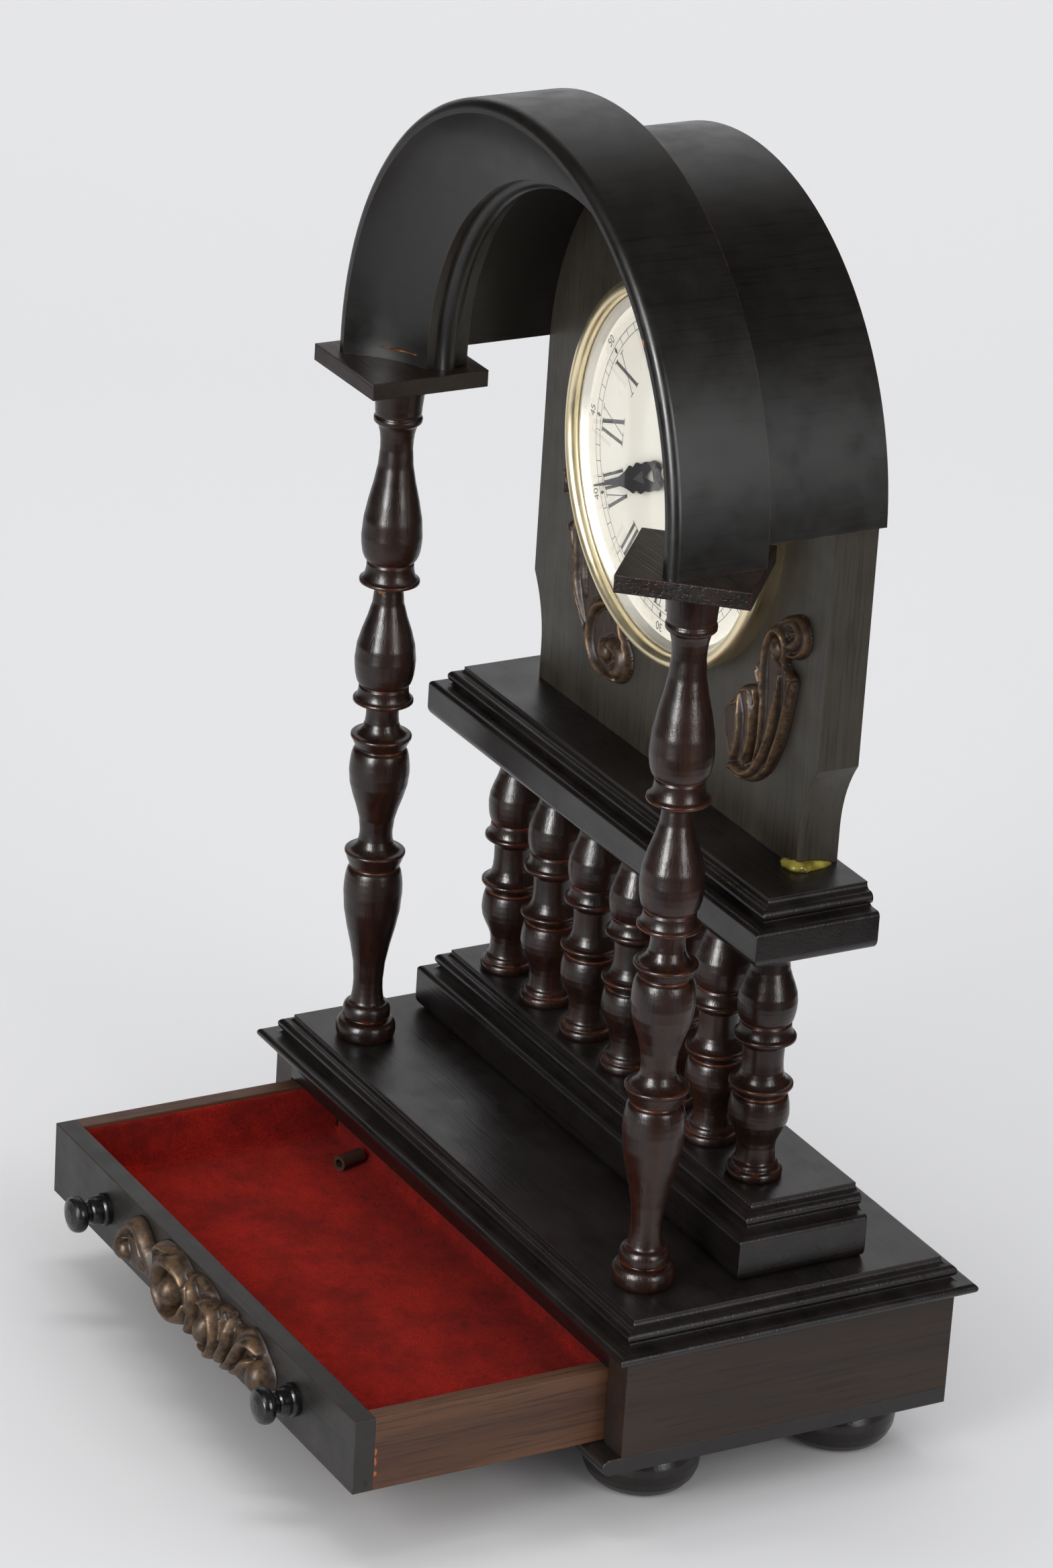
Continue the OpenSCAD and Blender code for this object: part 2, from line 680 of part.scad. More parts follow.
module drawer_bottom() {
    reach = groove_d - peg_gap;
    color(walnut)
        in_drawer(wall_t - reach, front_t - reach, floor_up)
            cube([drawer_w - 2 * (wall_t - reach), drawer_d - front_t - wall_t + 2 * reach, floor_t]);
}

module drawer_lining() {
    w = drawer_w - 2 * wall_t;
    d = drawer_d - front_t - wall_t;
    h = drawer_h - floor_up - floor_t - lining_drop;
    color("firebrick")
        in_drawer(wall_t, front_t, floor_up + floor_t)
            difference() {
                cube([w, d, h]);
                translate([felt_t, felt_t, felt_t])
                    cube([w - 2 * felt_t, d - 2 * felt_t, h]);
            }
}

module drawer_knob(side) {
    color("#1b1a1b")
        translate([side * knob_x, drawer_y, knob_z])
            rotate([90, 0, 0]) {
                turned(knob_turning, knob_out, knob_d);
                translate([0, 0, -front_t])
                    cylinder(h = front_t + 1, d = spigot_d);
            }
}

// A smooth closed line through the points of a list
function closed_line(p) = [
    for (i = [0:len(p) - 1])
        let (n = len(p), a = p[(i + n - 1) % n], b = p[i], c = p[(i + 1) % n], d = p[(i + 2) % n])
        for (s = [0:curve_steps - 1]) on_curve(a, b, c, d, s / curve_steps)
];

// A smooth open line through the points of a list
function open_line(p) = concat([
    for (i = [0:len(p) - 2])
        let (a = p[max(i - 1, 0)], d = p[min(i + 2, len(p) - 1)])
        for (s = [0:curve_steps - 1]) on_curve(a, p[i], p[i + 1], d, s / curve_steps)
], [p[len(p) - 1]]);

function on_curve(a, b, c, d, t) =
    b + (c - a) * t / 2 + (a - 2.5 * b + 2 * c - d / 2) * t * t + (1.5 * (b - c) + (d - a) / 2) * t * t * t;

// The two sides of a band drawn along a line
function band_side(p, half) = [
    for (i = [0:len(p) - 1])
        let (way = p[min(i + 1, len(p) - 1)] - p[max(i - 1, 0)])
        p[i] + half * [-way[1], way[0]] / norm(way)
];

// A band drawn along a line, with wider round ends
module band(p, width) {
    one = band_side(p, width / 2);
    other = band_side(p, -width / 2);
    polygon(concat(one, [for (i = [1:len(other)]) other[len(other) - i]]));
    for (end = [p[0], p[len(p) - 1]])
        translate(end)
            circle(d = width * end_swell);
}

function drawn(p, k) = [for (q = p) [q[0] * k[0], q[1] * k[1]]];

function extent(p, axis) = max([for (q = p) q[axis]]) - min([for (q = p) q[axis]]);

// An ornament in relief: a base of the given outline, ridges (width and line) and round bosses (place and
// radius) in steps, all drawn to the ornament's own width, height and thickness. A child is cut away.
module relief(outline, ridges, bosses, size) {
    k = [size[0] / extent(outline, 0), size[1] / extent(outline, 1)];
    narrow = min(k[0], k[1]);
    base_h = size[2] * base_share;
    ridge_h = size[2] * ridge_share;
    linear_extrude(base_h)
        difference() {
            polygon(drawn(closed_line(outline), k));
            children();
        }
    translate([0, 0, base_h])
        linear_extrude(ridge_h - base_h)
            intersection() {
                difference() {
                    polygon(drawn(closed_line(outline), k));
                    children();
                }
                union() {
                    for (r = ridges)
                        band(drawn(open_line(r[1]), k), r[0] * narrow);
                    for (b = bosses)
                        translate([b[0][0] * k[0], b[0][1] * k[1]])
                            circle(b[1] * narrow);
                }
            }
    for (b = bosses)
        translate([b[0][0] * k[0], b[0][1] * k[1], ridge_h])
            cylinder(h = size[2] - ridge_h, r = b[1] * narrow * crown_share);
}

module drawer_carving() {
    color(bronze)
        translate([0, drawer_y, knob_z])
            rotate([90, 0, 0])
                relief(carving_outline, carving_ridges, carving_bosses,
                    [carving_w, drawer_h - 2 * carving_gap, carving_out]);
}

module drawer_tube() {
    tube_at = [
        -drawer_w / 2 + wall_t + felt_t + tube_in,
        drawer_y + drawer_d - wall_t - felt_t - tube_room,
        drawer_z + floor_up + floor_t + felt_t + tube_d / 2
    ];
    color("#4a2f1f")
        translate(tube_at)
            rotate([0, 90, tube_turn])
                difference() {
                    cylinder(h = tube_l, d = tube_d, center = true);
                    cylinder(h = tube_l + 2 * e, d = tube_bore_d, center = true);
                }
}

module pedestal() {
    color(ebony)
        difference() {
            translate([0, stand_back - pedestal_d / 2, pedestal_z])
                moulded_board(pedestal_w, pedestal_d, pedestal_h, pedestal_inset, pedestal_lip, low_edge_r,
                    true);
            for (i = [1:baluster_count])
                translate([baluster_x(i), baluster_y, pedestal_z])
                    mirror([0, 0, 1])
                        tenon_hole(tenon_l);
        }
}

module baluster(i) {
    color(ebony)
        translate([baluster_x(i), baluster_y, pedestal_z]) {
            turned(baluster_turning, baluster_h, baluster_d);
            mirror([0, 0, 1])
                tenon(tenon_l);
            translate([0, 0, baluster_h])
                tenon(tenon_l);
        }
}

module shelf() {
    color(ebony)
        difference() {
            translate([0, shelf_back - shelf_d / 2, shelf_z])
                moulded_board(shelf_w, shelf_d, shelf_h, shelf_inset, shelf_lip, low_edge_r, true);
            for (i = [1:baluster_count])
                translate([baluster_x(i), baluster_y, shelf_under_z])
                    tenon_hole(tenon_l);
        }
}

module column(side) {
    color(ebony)
        translate([side * column_x, column_y, base_z]) {
            turned(column_turning, column_h, column_d);
            mirror([0, 0, 1])
                tenon(column_tenon_l);
            translate([0, 0, column_h])
                tenon(tenon_l);
        }
}

module cap(side, turn) {
    color(ebony)
        translate([side * column_x, column_y, column_top_z])
            rotate(turn)
                difference() {
                    translate([-cap_w / 2, -cap_w / 2, 0])
                        cube([cap_w, cap_w, cap_t]);
                    tenon_hole(tenon_l);
                }
}

// Section of the arch: x is the radius, y runs forward from the arch's back
module arch_section() {
    rim_in = [arch_out_r - arch_rim, arch_d];
    cove_end = [arch_in_r, arch_d - arch_cove_d];
    chord = cove_end - rim_in;
    away = [chord[1], -chord[0]] / norm(chord);
    difference() {
        translate([arch_in_r, 0])
            square([arch_w, arch_d]);
        translate((rim_in + cove_end) / 2 + away * sqrt(arch_cove_r * arch_cove_r - chord * chord / 4))
            circle(arch_cove_r, $fn = 360);
        translate([arch_out_r, arch_d])
            corner_waste(arch_edge_r);
    }
    translate([arch_in_r, arch_d - arch_bead_d])
        circle(arch_bead_r);
}

module front_arch() {
    color(ebony) {
        translate([0, arch_back, arch_z])
            rotate([90, 0, 0])
                rotate_extrude(angle = 180)
                    arch_section();
        for (side = [-1, 1])
            translate([0, arch_back, cap_z])
                mirror([side < 0 ? 1 : 0, 0, 0])
                    linear_extrude(arch_leg + e)
                        mirror([0, 1])
                            arch_section();
    }
}

module hood() {
    color(ebony)
        difference() {
            translate([0, panel_back - hood_setback, dome_z])
                rotate([90, 0, 0])
                    rotate_extrude(angle = 180)
                        translate([hood_in_r, 0])
                            square([hood_t, hood_d]);
            block([-hood_out_r - 1, arch_back - 1, dome_z - 1],
                [hood_out_r + 1, panel_back + 1, dome_z + hood_end_up]);
        }
}

module dial_panel() {
    color(ebony)
        translate([0, panel_back, shelf_z])
            rotate([90, 0, 0])
                linear_extrude(panel_t)
                    difference() {
                        union() {
                            translate([-panel_r, 0])
                                square([2 * panel_r, panel_straight]);
                            translate([0, panel_straight])
                                circle(panel_r);
                        }
                        for (side = [0, 1])
                            mirror([side, 0]) {
                                translate([panel_r - waist_in, -1])
                                    square([waist_in + 1, waist_h + 1]);
                                translate([panel_r - waist_in + waist_r, waist_h])
                                    circle(waist_r);
                            }
                        translate([0, panel_straight - dial_drop])
                            circle(drum_r + run_gap);
                    }
}

// A place on the panel's face: x to the right, y up and z forward from the dial's centre
module on_dial() {
    translate([0, panel_face, dial_z])
        rotate([90, 0, 0])
            children();
}

module scroll_right() {
    color(bronze)
        on_dial()
            translate([panel_r - right_scroll_in, shelf_z + right_scroll_up - dial_z, 0])
                relief(right_outline, right_ridges, right_bosses,
                    [right_scroll_w, right_scroll_h, scroll_out]);
}

module scroll_left() {
    foot = [left_scroll_in - panel_r, shelf_z + left_scroll_up - dial_z];
    color(bronze)
        on_dial()
            translate(foot)
                relief(left_outline, left_ridges, left_bosses, [left_scroll_w, left_scroll_h, scroll_out])
                    translate(-foot)
                        circle(bezel_r + 2 * run_gap);
}

module bezel() {
    color(brass)
        on_dial()
            rotate_extrude() {
                translate([ledge_r, 0])
                    square([bezel_wall_out_r - ledge_r, ledge_t]);
                translate([bezel_wall_in_r, 0])
                    square([bezel_wall_out_r - bezel_wall_in_r, roll_up]);
                translate([bezel_r - roll_r, roll_up])
                    circle(roll_r);
            }
}

module dial_plate() {
    color("ivory")
        on_dial()
            translate([0, 0, ledge_t])
                difference() {
                    cylinder(h = dial_t, r = dial_r);
                    translate([0, 0, -e])
                        cylinder(h = dial_t + 2 * e, d = pipe_d + 2 * run_gap);
                }
}

module dial_surround() {
    low = ledge_t + dial_t;
    color("gainsboro")
        on_dial()
            rotate_extrude()
                polygon([
                    [sight_r, low], [dial_r, low], [dial_r, low + rim_t],
                    [throat_r - peg_gap, glass_up], [glass_r - rim_t, glass_up]
                ]);
}

module glass() {
    dome_r = (glass_r * glass_r + glass_rise * glass_rise) / (2 * glass_rise);
    crown = glass_up + glass_t + glass_rise;
    color("lightcyan", 0.4)
        on_dial()
            rotate_extrude()
                intersection() {
                    difference() {
                        translate([0, crown - dome_r])
                            circle(dome_r, $fn = 720);
                        translate([0, crown - glass_t - dome_r])
                            circle(dome_r, $fn = 720);
                    }
                    translate([0, glass_up])
                        square([glass_r, glass_rise + glass_t + 1]);
                }
}

// Outline of a pierced hand that points up from the centre, drawn to its own length
module hand_outline(stations, length, hole, eye) {
    k = length / stations[len(stations) - 1][1];
    half = open_line(stations);
    difference() {
        union() {
            circle(eye + hand_ring);
            polygon(concat(
                [for (q = half) q * k],
                [for (i = [1:len(half)]) let (q = half[len(half) - i]) [-q[0] * k, q[1] * k]]
            ));
        }
        circle(eye);
        polygon([[-hole[0], hole[1]] * k, [hole[0], hole[1]] * k, [0, hole[2]] * k]);
    }
}

minute_angle = minute_shown * 6;
hour_angle = (hour_shown + minute_shown / 60) * 30;

module hour_hand() {
    color("#2f3338")
        on_dial()
            translate([0, 0, hour_up])
                rotate(-hour_angle)
                    linear_extrude(hand_t)
                        hand_outline(hour_outline, hour_l, hour_hole, pipe_d / 2);
}

module minute_hand() {
    color("#2f3338")
        on_dial()
            translate([0, 0, minute_up])
                rotate(-minute_angle)
                    linear_extrude(hand_t)
                        hand_outline(minute_outline, minute_l, minute_hole, arbor_d / 2);
}

module hour_pipe() {
    color(brass)
        on_dial()
            translate([0, 0, -panel_t / 2])
                difference() {
                    cylinder(h = hour_up + hand_t + panel_t / 2, d = pipe_d);
                    translate([0, 0, -e])
                        cylinder(h = hour_up + hand_t + panel_t / 2 + 2 * e, d = arbor_d + 2 * arbor_gap);
                }
}

module hand_nut() {
    color(brass)
        on_dial()
            translate([0, 0, minute_up + hand_t])
                difference() {
                    cylinder(h = nut_t, d = nut_d);
                    translate([0, 0, -e])
                        cylinder(h = nut_t + 2 * e, d = arbor_d);
                }
}

module centre_arbor() {
    color("silver")
        on_dial()
            translate([0, 0, -drum_back - arbor_tail])
                cylinder(h = drum_back + arbor_tail + minute_up + hand_t + nut_t, d = arbor_d);
}

module movement_drum() {
    bore_end = -panel_t / 2 - run_gap;
    color("#9a8350")
        on_dial()
            difference() {
                union() {
                    translate([0, 0, -drum_back])
                        cylinder(h = drum_back + ledge_t, r = drum_r);
                    translate([key_at[0], key_at[1], -drum_back - key_boss_h])
                        cylinder(h = key_boss_h + 1, d = key_boss_d);
                }
                translate([0, 0, -drum_back - e])
                    cylinder(h = drum_back + ledge_t + 2 * e, d = arbor_d + 2 * arbor_gap);
                translate([0, 0, bore_end])
                    cylinder(h = ledge_t - bore_end + e, d = pipe_d + 2 * arbor_gap);
                translate([key_at[0], key_at[1], -drum_back - key_boss_h - e])
                    cylinder(h = key_boss_h + key_in + run_gap, d = key_d + 2 * arbor_gap);
            }
}

module clamp_ring() {
    color("#9a8350")
        on_dial()
            translate([0, 0, -panel_t - ring_t])
                difference() {
                    cylinder(h = ring_t, r = drum_r + ring_w);
                    translate([0, 0, -e])
                        cylinder(h = ring_t + 2 * e, r = drum_r + peg_gap);
                }
}

module set_knob() {
    color(brass)
        on_dial()
            translate([0, 0, -drum_back - run_gap - set_knob_l])
                difference() {
                    union() {
                        cylinder(h = set_knob_t, d = set_knob_d);
                        cylinder(h = set_knob_l, d = set_knob_d / 2);
                    }
                    translate([0, 0, -e])
                        cylinder(h = set_knob_l + 2 * e, d = arbor_d);
                }
}

// The bow of the key, with its stem's end at the middle
module key_bow() {
    linear_extrude(bow_t, center = true)
        difference() {
            union() {
                for (side = [-1, 1])
                    translate([side * bow_x, 0])
                        circle(bow_r);
                square([2 * bow_x, bow_r], center = true);
            }
            for (side = [-1, 1])
                translate([side * (bow_x + 1), 0])
                    circle(bow_hole_r);
        }
}

module winding_key() {
    color(brass)
        on_dial()
            translate([key_at[0], key_at[1], -drum_back - key_boss_h - run_gap - key_out]) {
                cylinder(h = key_out + key_boss_h + key_in, d = key_d);
                rotate([90, 0, 0])
                    key_bow();
            }
}

for (i = [1:4])
    foot(i);
base_bottom();
base_side(-1);  // base_side_left
base_side(1);  // base_side_right
base_back();
base_rail();
base_top();
drawer_front();
drawer_side(-1);  // drawer_side_left
drawer_side(1);  // drawer_side_right
drawer_back();
drawer_bottom();
drawer_lining();
drawer_knob(-1);  // drawer_knob_left
drawer_knob(1);  // drawer_knob_right
drawer_carving();
drawer_tube();
pedestal();
for (i = [1:baluster_count])
    baluster(i);
shelf();
column(-1);  // column_left
column(1);  // column_right
cap(-1, 0);  // cap_left
cap(1, cap_turn);  // cap_right
front_arch();
hood();
dial_panel();
scroll_left();
scroll_right();
bezel();
dial_surround();
glass();
dial_plate();
hour_hand();
hour_pipe();
minute_hand();
hand_nut();
centre_arbor();
set_knob();
movement_drum();
clamp_ring();
winding_key();
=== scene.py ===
# %% [markdown]
# A table clock in dark turned wood
#
# The clock arrives as solids from CAD, one object for each real piece. This lesson gives them their finishes,
# adds the pieces that a carver, a dial printer and a felt layer would add, and lights the whole.
# Lengths are metres, the front looks along -Y, and the table top is z = 0.

import math
from contextlib import contextmanager

import bmesh
import bpy
import numpy as np
from mathutils import Matrix, Vector, noise


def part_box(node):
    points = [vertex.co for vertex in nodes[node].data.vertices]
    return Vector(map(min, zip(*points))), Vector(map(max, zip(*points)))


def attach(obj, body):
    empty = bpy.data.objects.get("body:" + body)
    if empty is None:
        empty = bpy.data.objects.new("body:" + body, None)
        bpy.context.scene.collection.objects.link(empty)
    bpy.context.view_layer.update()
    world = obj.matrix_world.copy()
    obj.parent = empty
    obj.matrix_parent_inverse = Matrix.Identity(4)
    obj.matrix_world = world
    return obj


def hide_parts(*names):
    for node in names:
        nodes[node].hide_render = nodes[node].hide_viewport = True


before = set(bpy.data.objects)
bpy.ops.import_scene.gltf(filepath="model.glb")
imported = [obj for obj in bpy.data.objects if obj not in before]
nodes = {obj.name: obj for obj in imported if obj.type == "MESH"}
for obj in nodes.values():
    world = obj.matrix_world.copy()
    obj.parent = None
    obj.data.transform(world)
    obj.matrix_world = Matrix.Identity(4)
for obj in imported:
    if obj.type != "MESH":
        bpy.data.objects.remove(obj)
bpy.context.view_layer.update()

# %% [markdown]
# The camera stands to the clock's right, a little above it. A long lens keeps the upright lines nearly
# parallel. Its place and lens come from a fit to the photograph's straight edges, which is the surest way to
# make the drawer, the arch and the dial line up at once.

# %% Camera
TURN, RISE, ROLL = math.radians(59.9), math.radians(23.34), math.radians(3.68)
AIM = Vector((-0.01677, -0.02875, 0.19082))
DISTANCE = 1.94442
FOCAL_PIXELS, PHOTO_HEIGHT = 9137.87, 2335


def camera_axes(turn, rise, roll):
    ahead = Vector((-math.sin(turn) * math.cos(rise), math.cos(turn) * math.cos(rise), -math.sin(rise)))
    right = Vector((math.cos(turn), math.sin(turn), 0))
    up = right.cross(ahead)
    tilted_right = math.cos(roll) * right + math.sin(roll) * up
    tilted_up = -math.sin(roll) * right + math.cos(roll) * up
    return tilted_right, tilted_up, ahead


right, up, ahead = camera_axes(TURN, RISE, ROLL)
camera = bpy.data.objects.new("camera", bpy.data.cameras.new("camera"))
bpy.context.scene.collection.objects.link(camera)
facing = Matrix((right, up, -ahead)).transposed().to_4x4()
camera.matrix_world = Matrix.Translation(AIM - ahead * DISTANCE) @ facing
camera.data.sensor_width = 36
camera.data.lens = camera.data.sensor_width * FOCAL_PIXELS / PHOTO_HEIGHT
bpy.context.scene.camera = camera
print("lens", round(camera.data.lens, 1), "mm")

# %% [markdown]
# Every finish is a node tree. Short helpers place nodes and wires, because a tree reads best as a list of
# steps. Groups with named inputs come after them: one piece of work then serves dark stain and walnut alike.


# %% Helpers for node trees and meshes
class Tree:
    """A node tree that is written down step by step."""

    def __init__(self, tree):
        self.tree = tree

    def add(self, kind, inputs=None, **settings):
        node = self.tree.nodes.new(kind)
        for key, value in settings.items():
            setattr(node, key, value)
        return self.fill(node, inputs or {})

    def fill(self, node, inputs):
        for key, value in inputs.items():
            self.feed(node.inputs[key], value)
        return node

    def feed(self, socket, value):
        if isinstance(value, bpy.types.NodeSocket):
            self.tree.links.new(value, socket)
        elif isinstance(value, bpy.types.Node):
            self.tree.links.new(value.outputs[0], socket)
        elif isinstance(value, (tuple, list)) and len(value) == 3 and socket.type == "RGBA":
            socket.default_value = (*value, 1)
        else:
            socket.default_value = value

    def math(self, operation, a, b=0.0, clamp=False):
        return self.add("ShaderNodeMath", {0: a, 1: b}, operation=operation, use_clamp=clamp).outputs[0]

    def vector(self, operation, a, b=(0, 0, 0)):
        return self.add("ShaderNodeVectorMath", {0: a, 1: b}, operation=operation).outputs

    def mix(self, share, a, b):
        return self.add("ShaderNodeMix", {0: share, 6: a, 7: b}, data_type="RGBA").outputs[2]

    def ramp(self, value, low, high, to_low=0.0, to_high=1.0):
        return self.add("ShaderNodeMapRange", {0: value, 1: low, 2: high, 3: to_low, 4: to_high}).outputs[0]

    def noise(self, vector, scale, detail=4.0, rough=0.5, twist=0.0):
        return self.add("ShaderNodeTexNoise", {"Vector": vector, "Scale": scale, "Detail": detail,
                                               "Roughness": rough, "Distortion": twist}).outputs[0]

    def bump(self, height, strength, distance, **settings):
        inputs = {"Strength": strength, "Distance": distance, "Height": height}
        return self.add("ShaderNodeBump", inputs, **settings)

    def place(self, made, inputs):
        return self.add("ShaderNodeGroup", inputs, node_tree=made).outputs


def position_in(tree):
    return tree.add("ShaderNodeTexCoord").outputs["Object"]


def group(name, inputs, outputs):
    made = bpy.data.node_groups.new(name, "ShaderNodeTree")
    for label, kind, value in inputs:
        socket = made.interface.new_socket(label, in_out="INPUT", socket_type=kind)
        if value is not None:
            socket.default_value = value
    for label, kind in outputs:
        made.interface.new_socket(label, in_out="OUTPUT", socket_type=kind)
    tree = Tree(made)
    return made, tree, tree.add("NodeGroupInput").outputs, tree.add("NodeGroupOutput")


def material_tree(name):
    material = bpy.data.materials.new(name)
    material.use_nodes = True
    tree = Tree(material.node_tree)
    return material, tree, material.node_tree.nodes["Principled BSDF"], position_in(tree)


@contextmanager
def reshaping(mesh):
    """Opens a mesh for changes and writes it back."""
    shape = bmesh.new()
    shape.from_mesh(mesh)
    yield shape
    shape.to_mesh(mesh)
    shape.free()


def linked(name, data):
    made = bpy.data.objects.new(name, data)
    bpy.context.scene.collection.objects.link(made)
    return made


def evaluated_mesh(holder):
    """The mesh that an object shows once its modifiers have run. The object is removed."""
    bpy.context.view_layer.update()
    mesh = bpy.data.meshes.new_from_object(holder.evaluated_get(bpy.context.evaluated_depsgraph_get()))
    bpy.data.objects.remove(holder)
    return mesh


FLOAT, VECTOR = "NodeSocketFloat", "NodeSocketVector"

# %% [markdown]
# The clock stands on white paper that curves up behind it, so there is no horizon. The paper is clear from its
# back, so that it hides nothing in other views. Matt surfaces get even light from all round, two soft boxes
# beside the camera and a lamp over the far paper. Shiny ones mirror a dark room instead, because satin black
# wood shows whatever is around it: with a white room on every side it would look grey. In that dark room two
# tall lamps draw the pair of upright highlights on every turned piece, and a wide one behind lies on the tops.


# %% Paper, lamps and dark room
def make_paper():
    material, tree, shader, _ = material_tree("cove_paper")
    front = tree.math("SUBTRACT", 1, tree.add("ShaderNodeNewGeometry").outputs["Backfacing"])
    tree.fill(shader, {"Base Color": (0.79, 0.79, 0.8), "Roughness": 0.7, "Specular IOR Level": 0.2,
                       "Alpha": front})
    return material


def make_cove(near=0.36, flat=0.9, radius=1.5, top=1.95):
    """Paper from near the clock's front, flat for some way behind it, and then up in a curve."""
    curve = [(-flat - radius * math.sin(a), radius - radius * math.cos(a))
             for a in [math.radians(5 * i) for i in range(18)]]
    outline = [(near, 0.0)] + curve + [(-flat - radius, top)]
    spin = Matrix.Rotation(TURN, 4, "Z")
    mesh = bpy.data.meshes.new("cove")
    with reshaping(mesh) as shape:
        rows = []
        for side, flare in ((-1.3, 0), (0.36, 0.13)):
            rows.append([shape.verts.new(spin @ Vector((side - flare * min(y, 0), -y, z))) for y, z in outline])
        for corners in zip(rows[0], rows[1], rows[1][1:], rows[0][1:]):
            shape.faces.new(corners)
        shape.normal_update()
        if next(iter(shape.faces)).normal.z < 0:
            bmesh.ops.reverse_faces(shape, faces=shape.faces)
    mesh.polygons.foreach_set("use_smooth", [True] * len(mesh.polygons))
    mesh.materials.append(make_paper())
    cove = linked("cove", mesh)


def softbox(name, place, aim, size, watts, mirrored):
    """A lamp that lights matt surfaces, or, when mirrored, one that shows only as a highlight."""
    lamp = bpy.data.lights.new(name, "AREA")
    lamp.shape = "RECTANGLE"
    lamp.size, lamp.size_y = size
    lamp.energy = watts
    holder = linked(name, lamp)
    holder.visible_camera = False
    holder.visible_glossy, holder.visible_diffuse = mirrored, not mirrored
    holder.location = place
    holder.rotation_mode = "QUATERNION"
    holder.rotation_quaternion = (Vector(aim) - Vector(place)).to_track_quat("-Z", "Y")


def beside_camera(across, forward, height):
    """A place given by metres to the camera's right, metres towards the camera, and height."""
    flat_ahead = Vector((ahead.x, ahead.y, 0)).normalized()
    flat_right = Vector((math.cos(TURN), math.sin(TURN), 0))
    return flat_right * across - flat_ahead * forward + Vector((0, 0, height))


def make_room():
    """Even light from every side for matt surfaces, and a dark room for everything that mirrors."""
    world = bpy.data.worlds.new("room")
    world.use_nodes = True
    tree, nodes_here = Tree(world.node_tree), world.node_tree.nodes
    even = tree.fill(nodes_here["Background"], {"Color": (0.985, 0.99, 1), "Strength": 0.6})
    dark = tree.add("ShaderNodeBackground", {"Strength": 0.03})
    mirrored = tree.add("ShaderNodeLightPath").outputs["Is Glossy Ray"]
    mix = tree.add("ShaderNodeMixShader", {0: mirrored, 1: even, 2: dark})
    tree.feed(nodes_here["World Output"].inputs["Surface"], mix)
    world.cycles.sampling_method = "NONE"
    bpy.context.scene.world = world


make_cove()
make_room()
MIDDLE = (0, 0, 0.2)
softbox("left_box", beside_camera(-1.05, 1.35, 0.95), MIDDLE, (0.7, 0.9), 9, mirrored=False)
softbox("right_box", beside_camera(1.07, 1.37, 0.95), MIDDLE, (0.7, 0.9), 7, mirrored=False)
softbox("left_glint", beside_camera(-1.05, 1.35, 0.8), MIDDLE, (0.34, 1.2), 56, mirrored=True)
softbox("right_glint", beside_camera(1.16, 1.3, 0.7), MIDDLE, (0.36, 1.0), 15, mirrored=True)
softbox("far_glow", beside_camera(0, -2.35, 2.1), (0, 0, 0.4), (2.4, 1.5), 8, mirrored=True)
softbox("paper_lamp", beside_camera(0, -0.2, 2.3), beside_camera(0, -2.2, 0.6), (2.2, 0.5), 24, mirrored=False)
bpy.context.scene.view_settings.view_transform = "Standard"

# %% [markdown]
# Wood grain is long and thin: fine dark pores that run one way, and broad soft bands behind them. A noise that
# is stretched along the grain gives both. The group takes a vector whose third axis runs along the grain.

# %% Group: grain
grain, t, given, result = group(
    "wood_grain", [("Vector", VECTOR, None), ("Band size", FLOAT, 60.0), ("Pore size", FLOAT, 900.0)],
    [("Bands", FLOAT), ("Pores", FLOAT)])
bands = t.noise(t.vector("MULTIPLY", given["Vector"], (1, 1, 0.09))[0], given["Band size"], 5, 0.55, 1.2)
pores = t.noise(t.vector("MULTIPLY", given["Vector"], (1, 1, 0.035))[0], given["Pore size"], 2, 0.6)
t.fill(result, {"Bands": t.ramp(bands, 0.3, 0.7), "Pores": t.ramp(pores, 0.52, 0.68)})

# %% [markdown]
# Handling rubs stain off every sharp edge. A Bevel node looks at how the surface bends within a small radius:
# where its normal differs from the true one, there is an edge. Noise breaks the line up, so the wear is uneven.
# On flat boards the same bent normal also rounds the edge in the light, which spares the mesh from real bevels.
# Curved pieces leave it out, because it would show their facets.

# %% Group: worn edges
worn_edges, t, given, result = group(
    "worn_edges", [("Radius", FLOAT, 0.0006), ("Amount", FLOAT, 1.0)], [("Edge", FLOAT), ("Normal", VECTOR)])
bent = t.add("ShaderNodeBevel", {"Radius": given["Radius"]}, samples=6)
likeness = t.vector("DOT_PRODUCT", bent, t.add("ShaderNodeNewGeometry").outputs["Normal"])["Value"]
patchy = t.ramp(t.noise(position_in(t), 120, 5, 0.65), 0.42, 0.6)
edge = t.math("MULTIPLY", t.ramp(t.math("SUBTRACT", 1.0, likeness), 0.02, 0.16), patchy, True)
t.fill(result, {"Edge": t.math("MULTIPLY", edge, given["Amount"], True), "Normal": bent})

# %% [markdown]
# Dust settles on what faces up. The group reads the normal's upward part and breaks it with fine noise.

# %% Group: dust
dust, t, given, result = group("dust", [("Amount", FLOAT, 0.3)], [("Dust", FLOAT)])
upward = t.add("ShaderNodeSeparateXYZ", {0: t.add("ShaderNodeNewGeometry").outputs["Normal"]}).outputs[2]
position = position_in(t)
specks = t.ramp(t.noise(position, 1500, 2, 0.7), 0.6, 0.72)
haze = t.ramp(t.noise(position, 45, 4, 0.6), 0.4, 0.75)
fallen = t.math("ADD", specks, t.math("MULTIPLY", haze, 0.5))
lying = t.math("MULTIPLY", t.ramp(upward, 0.6, 1.0), fallen, True)
t.fill(result, {"Dust": t.math("MULTIPLY", lying, given["Amount"], True)})
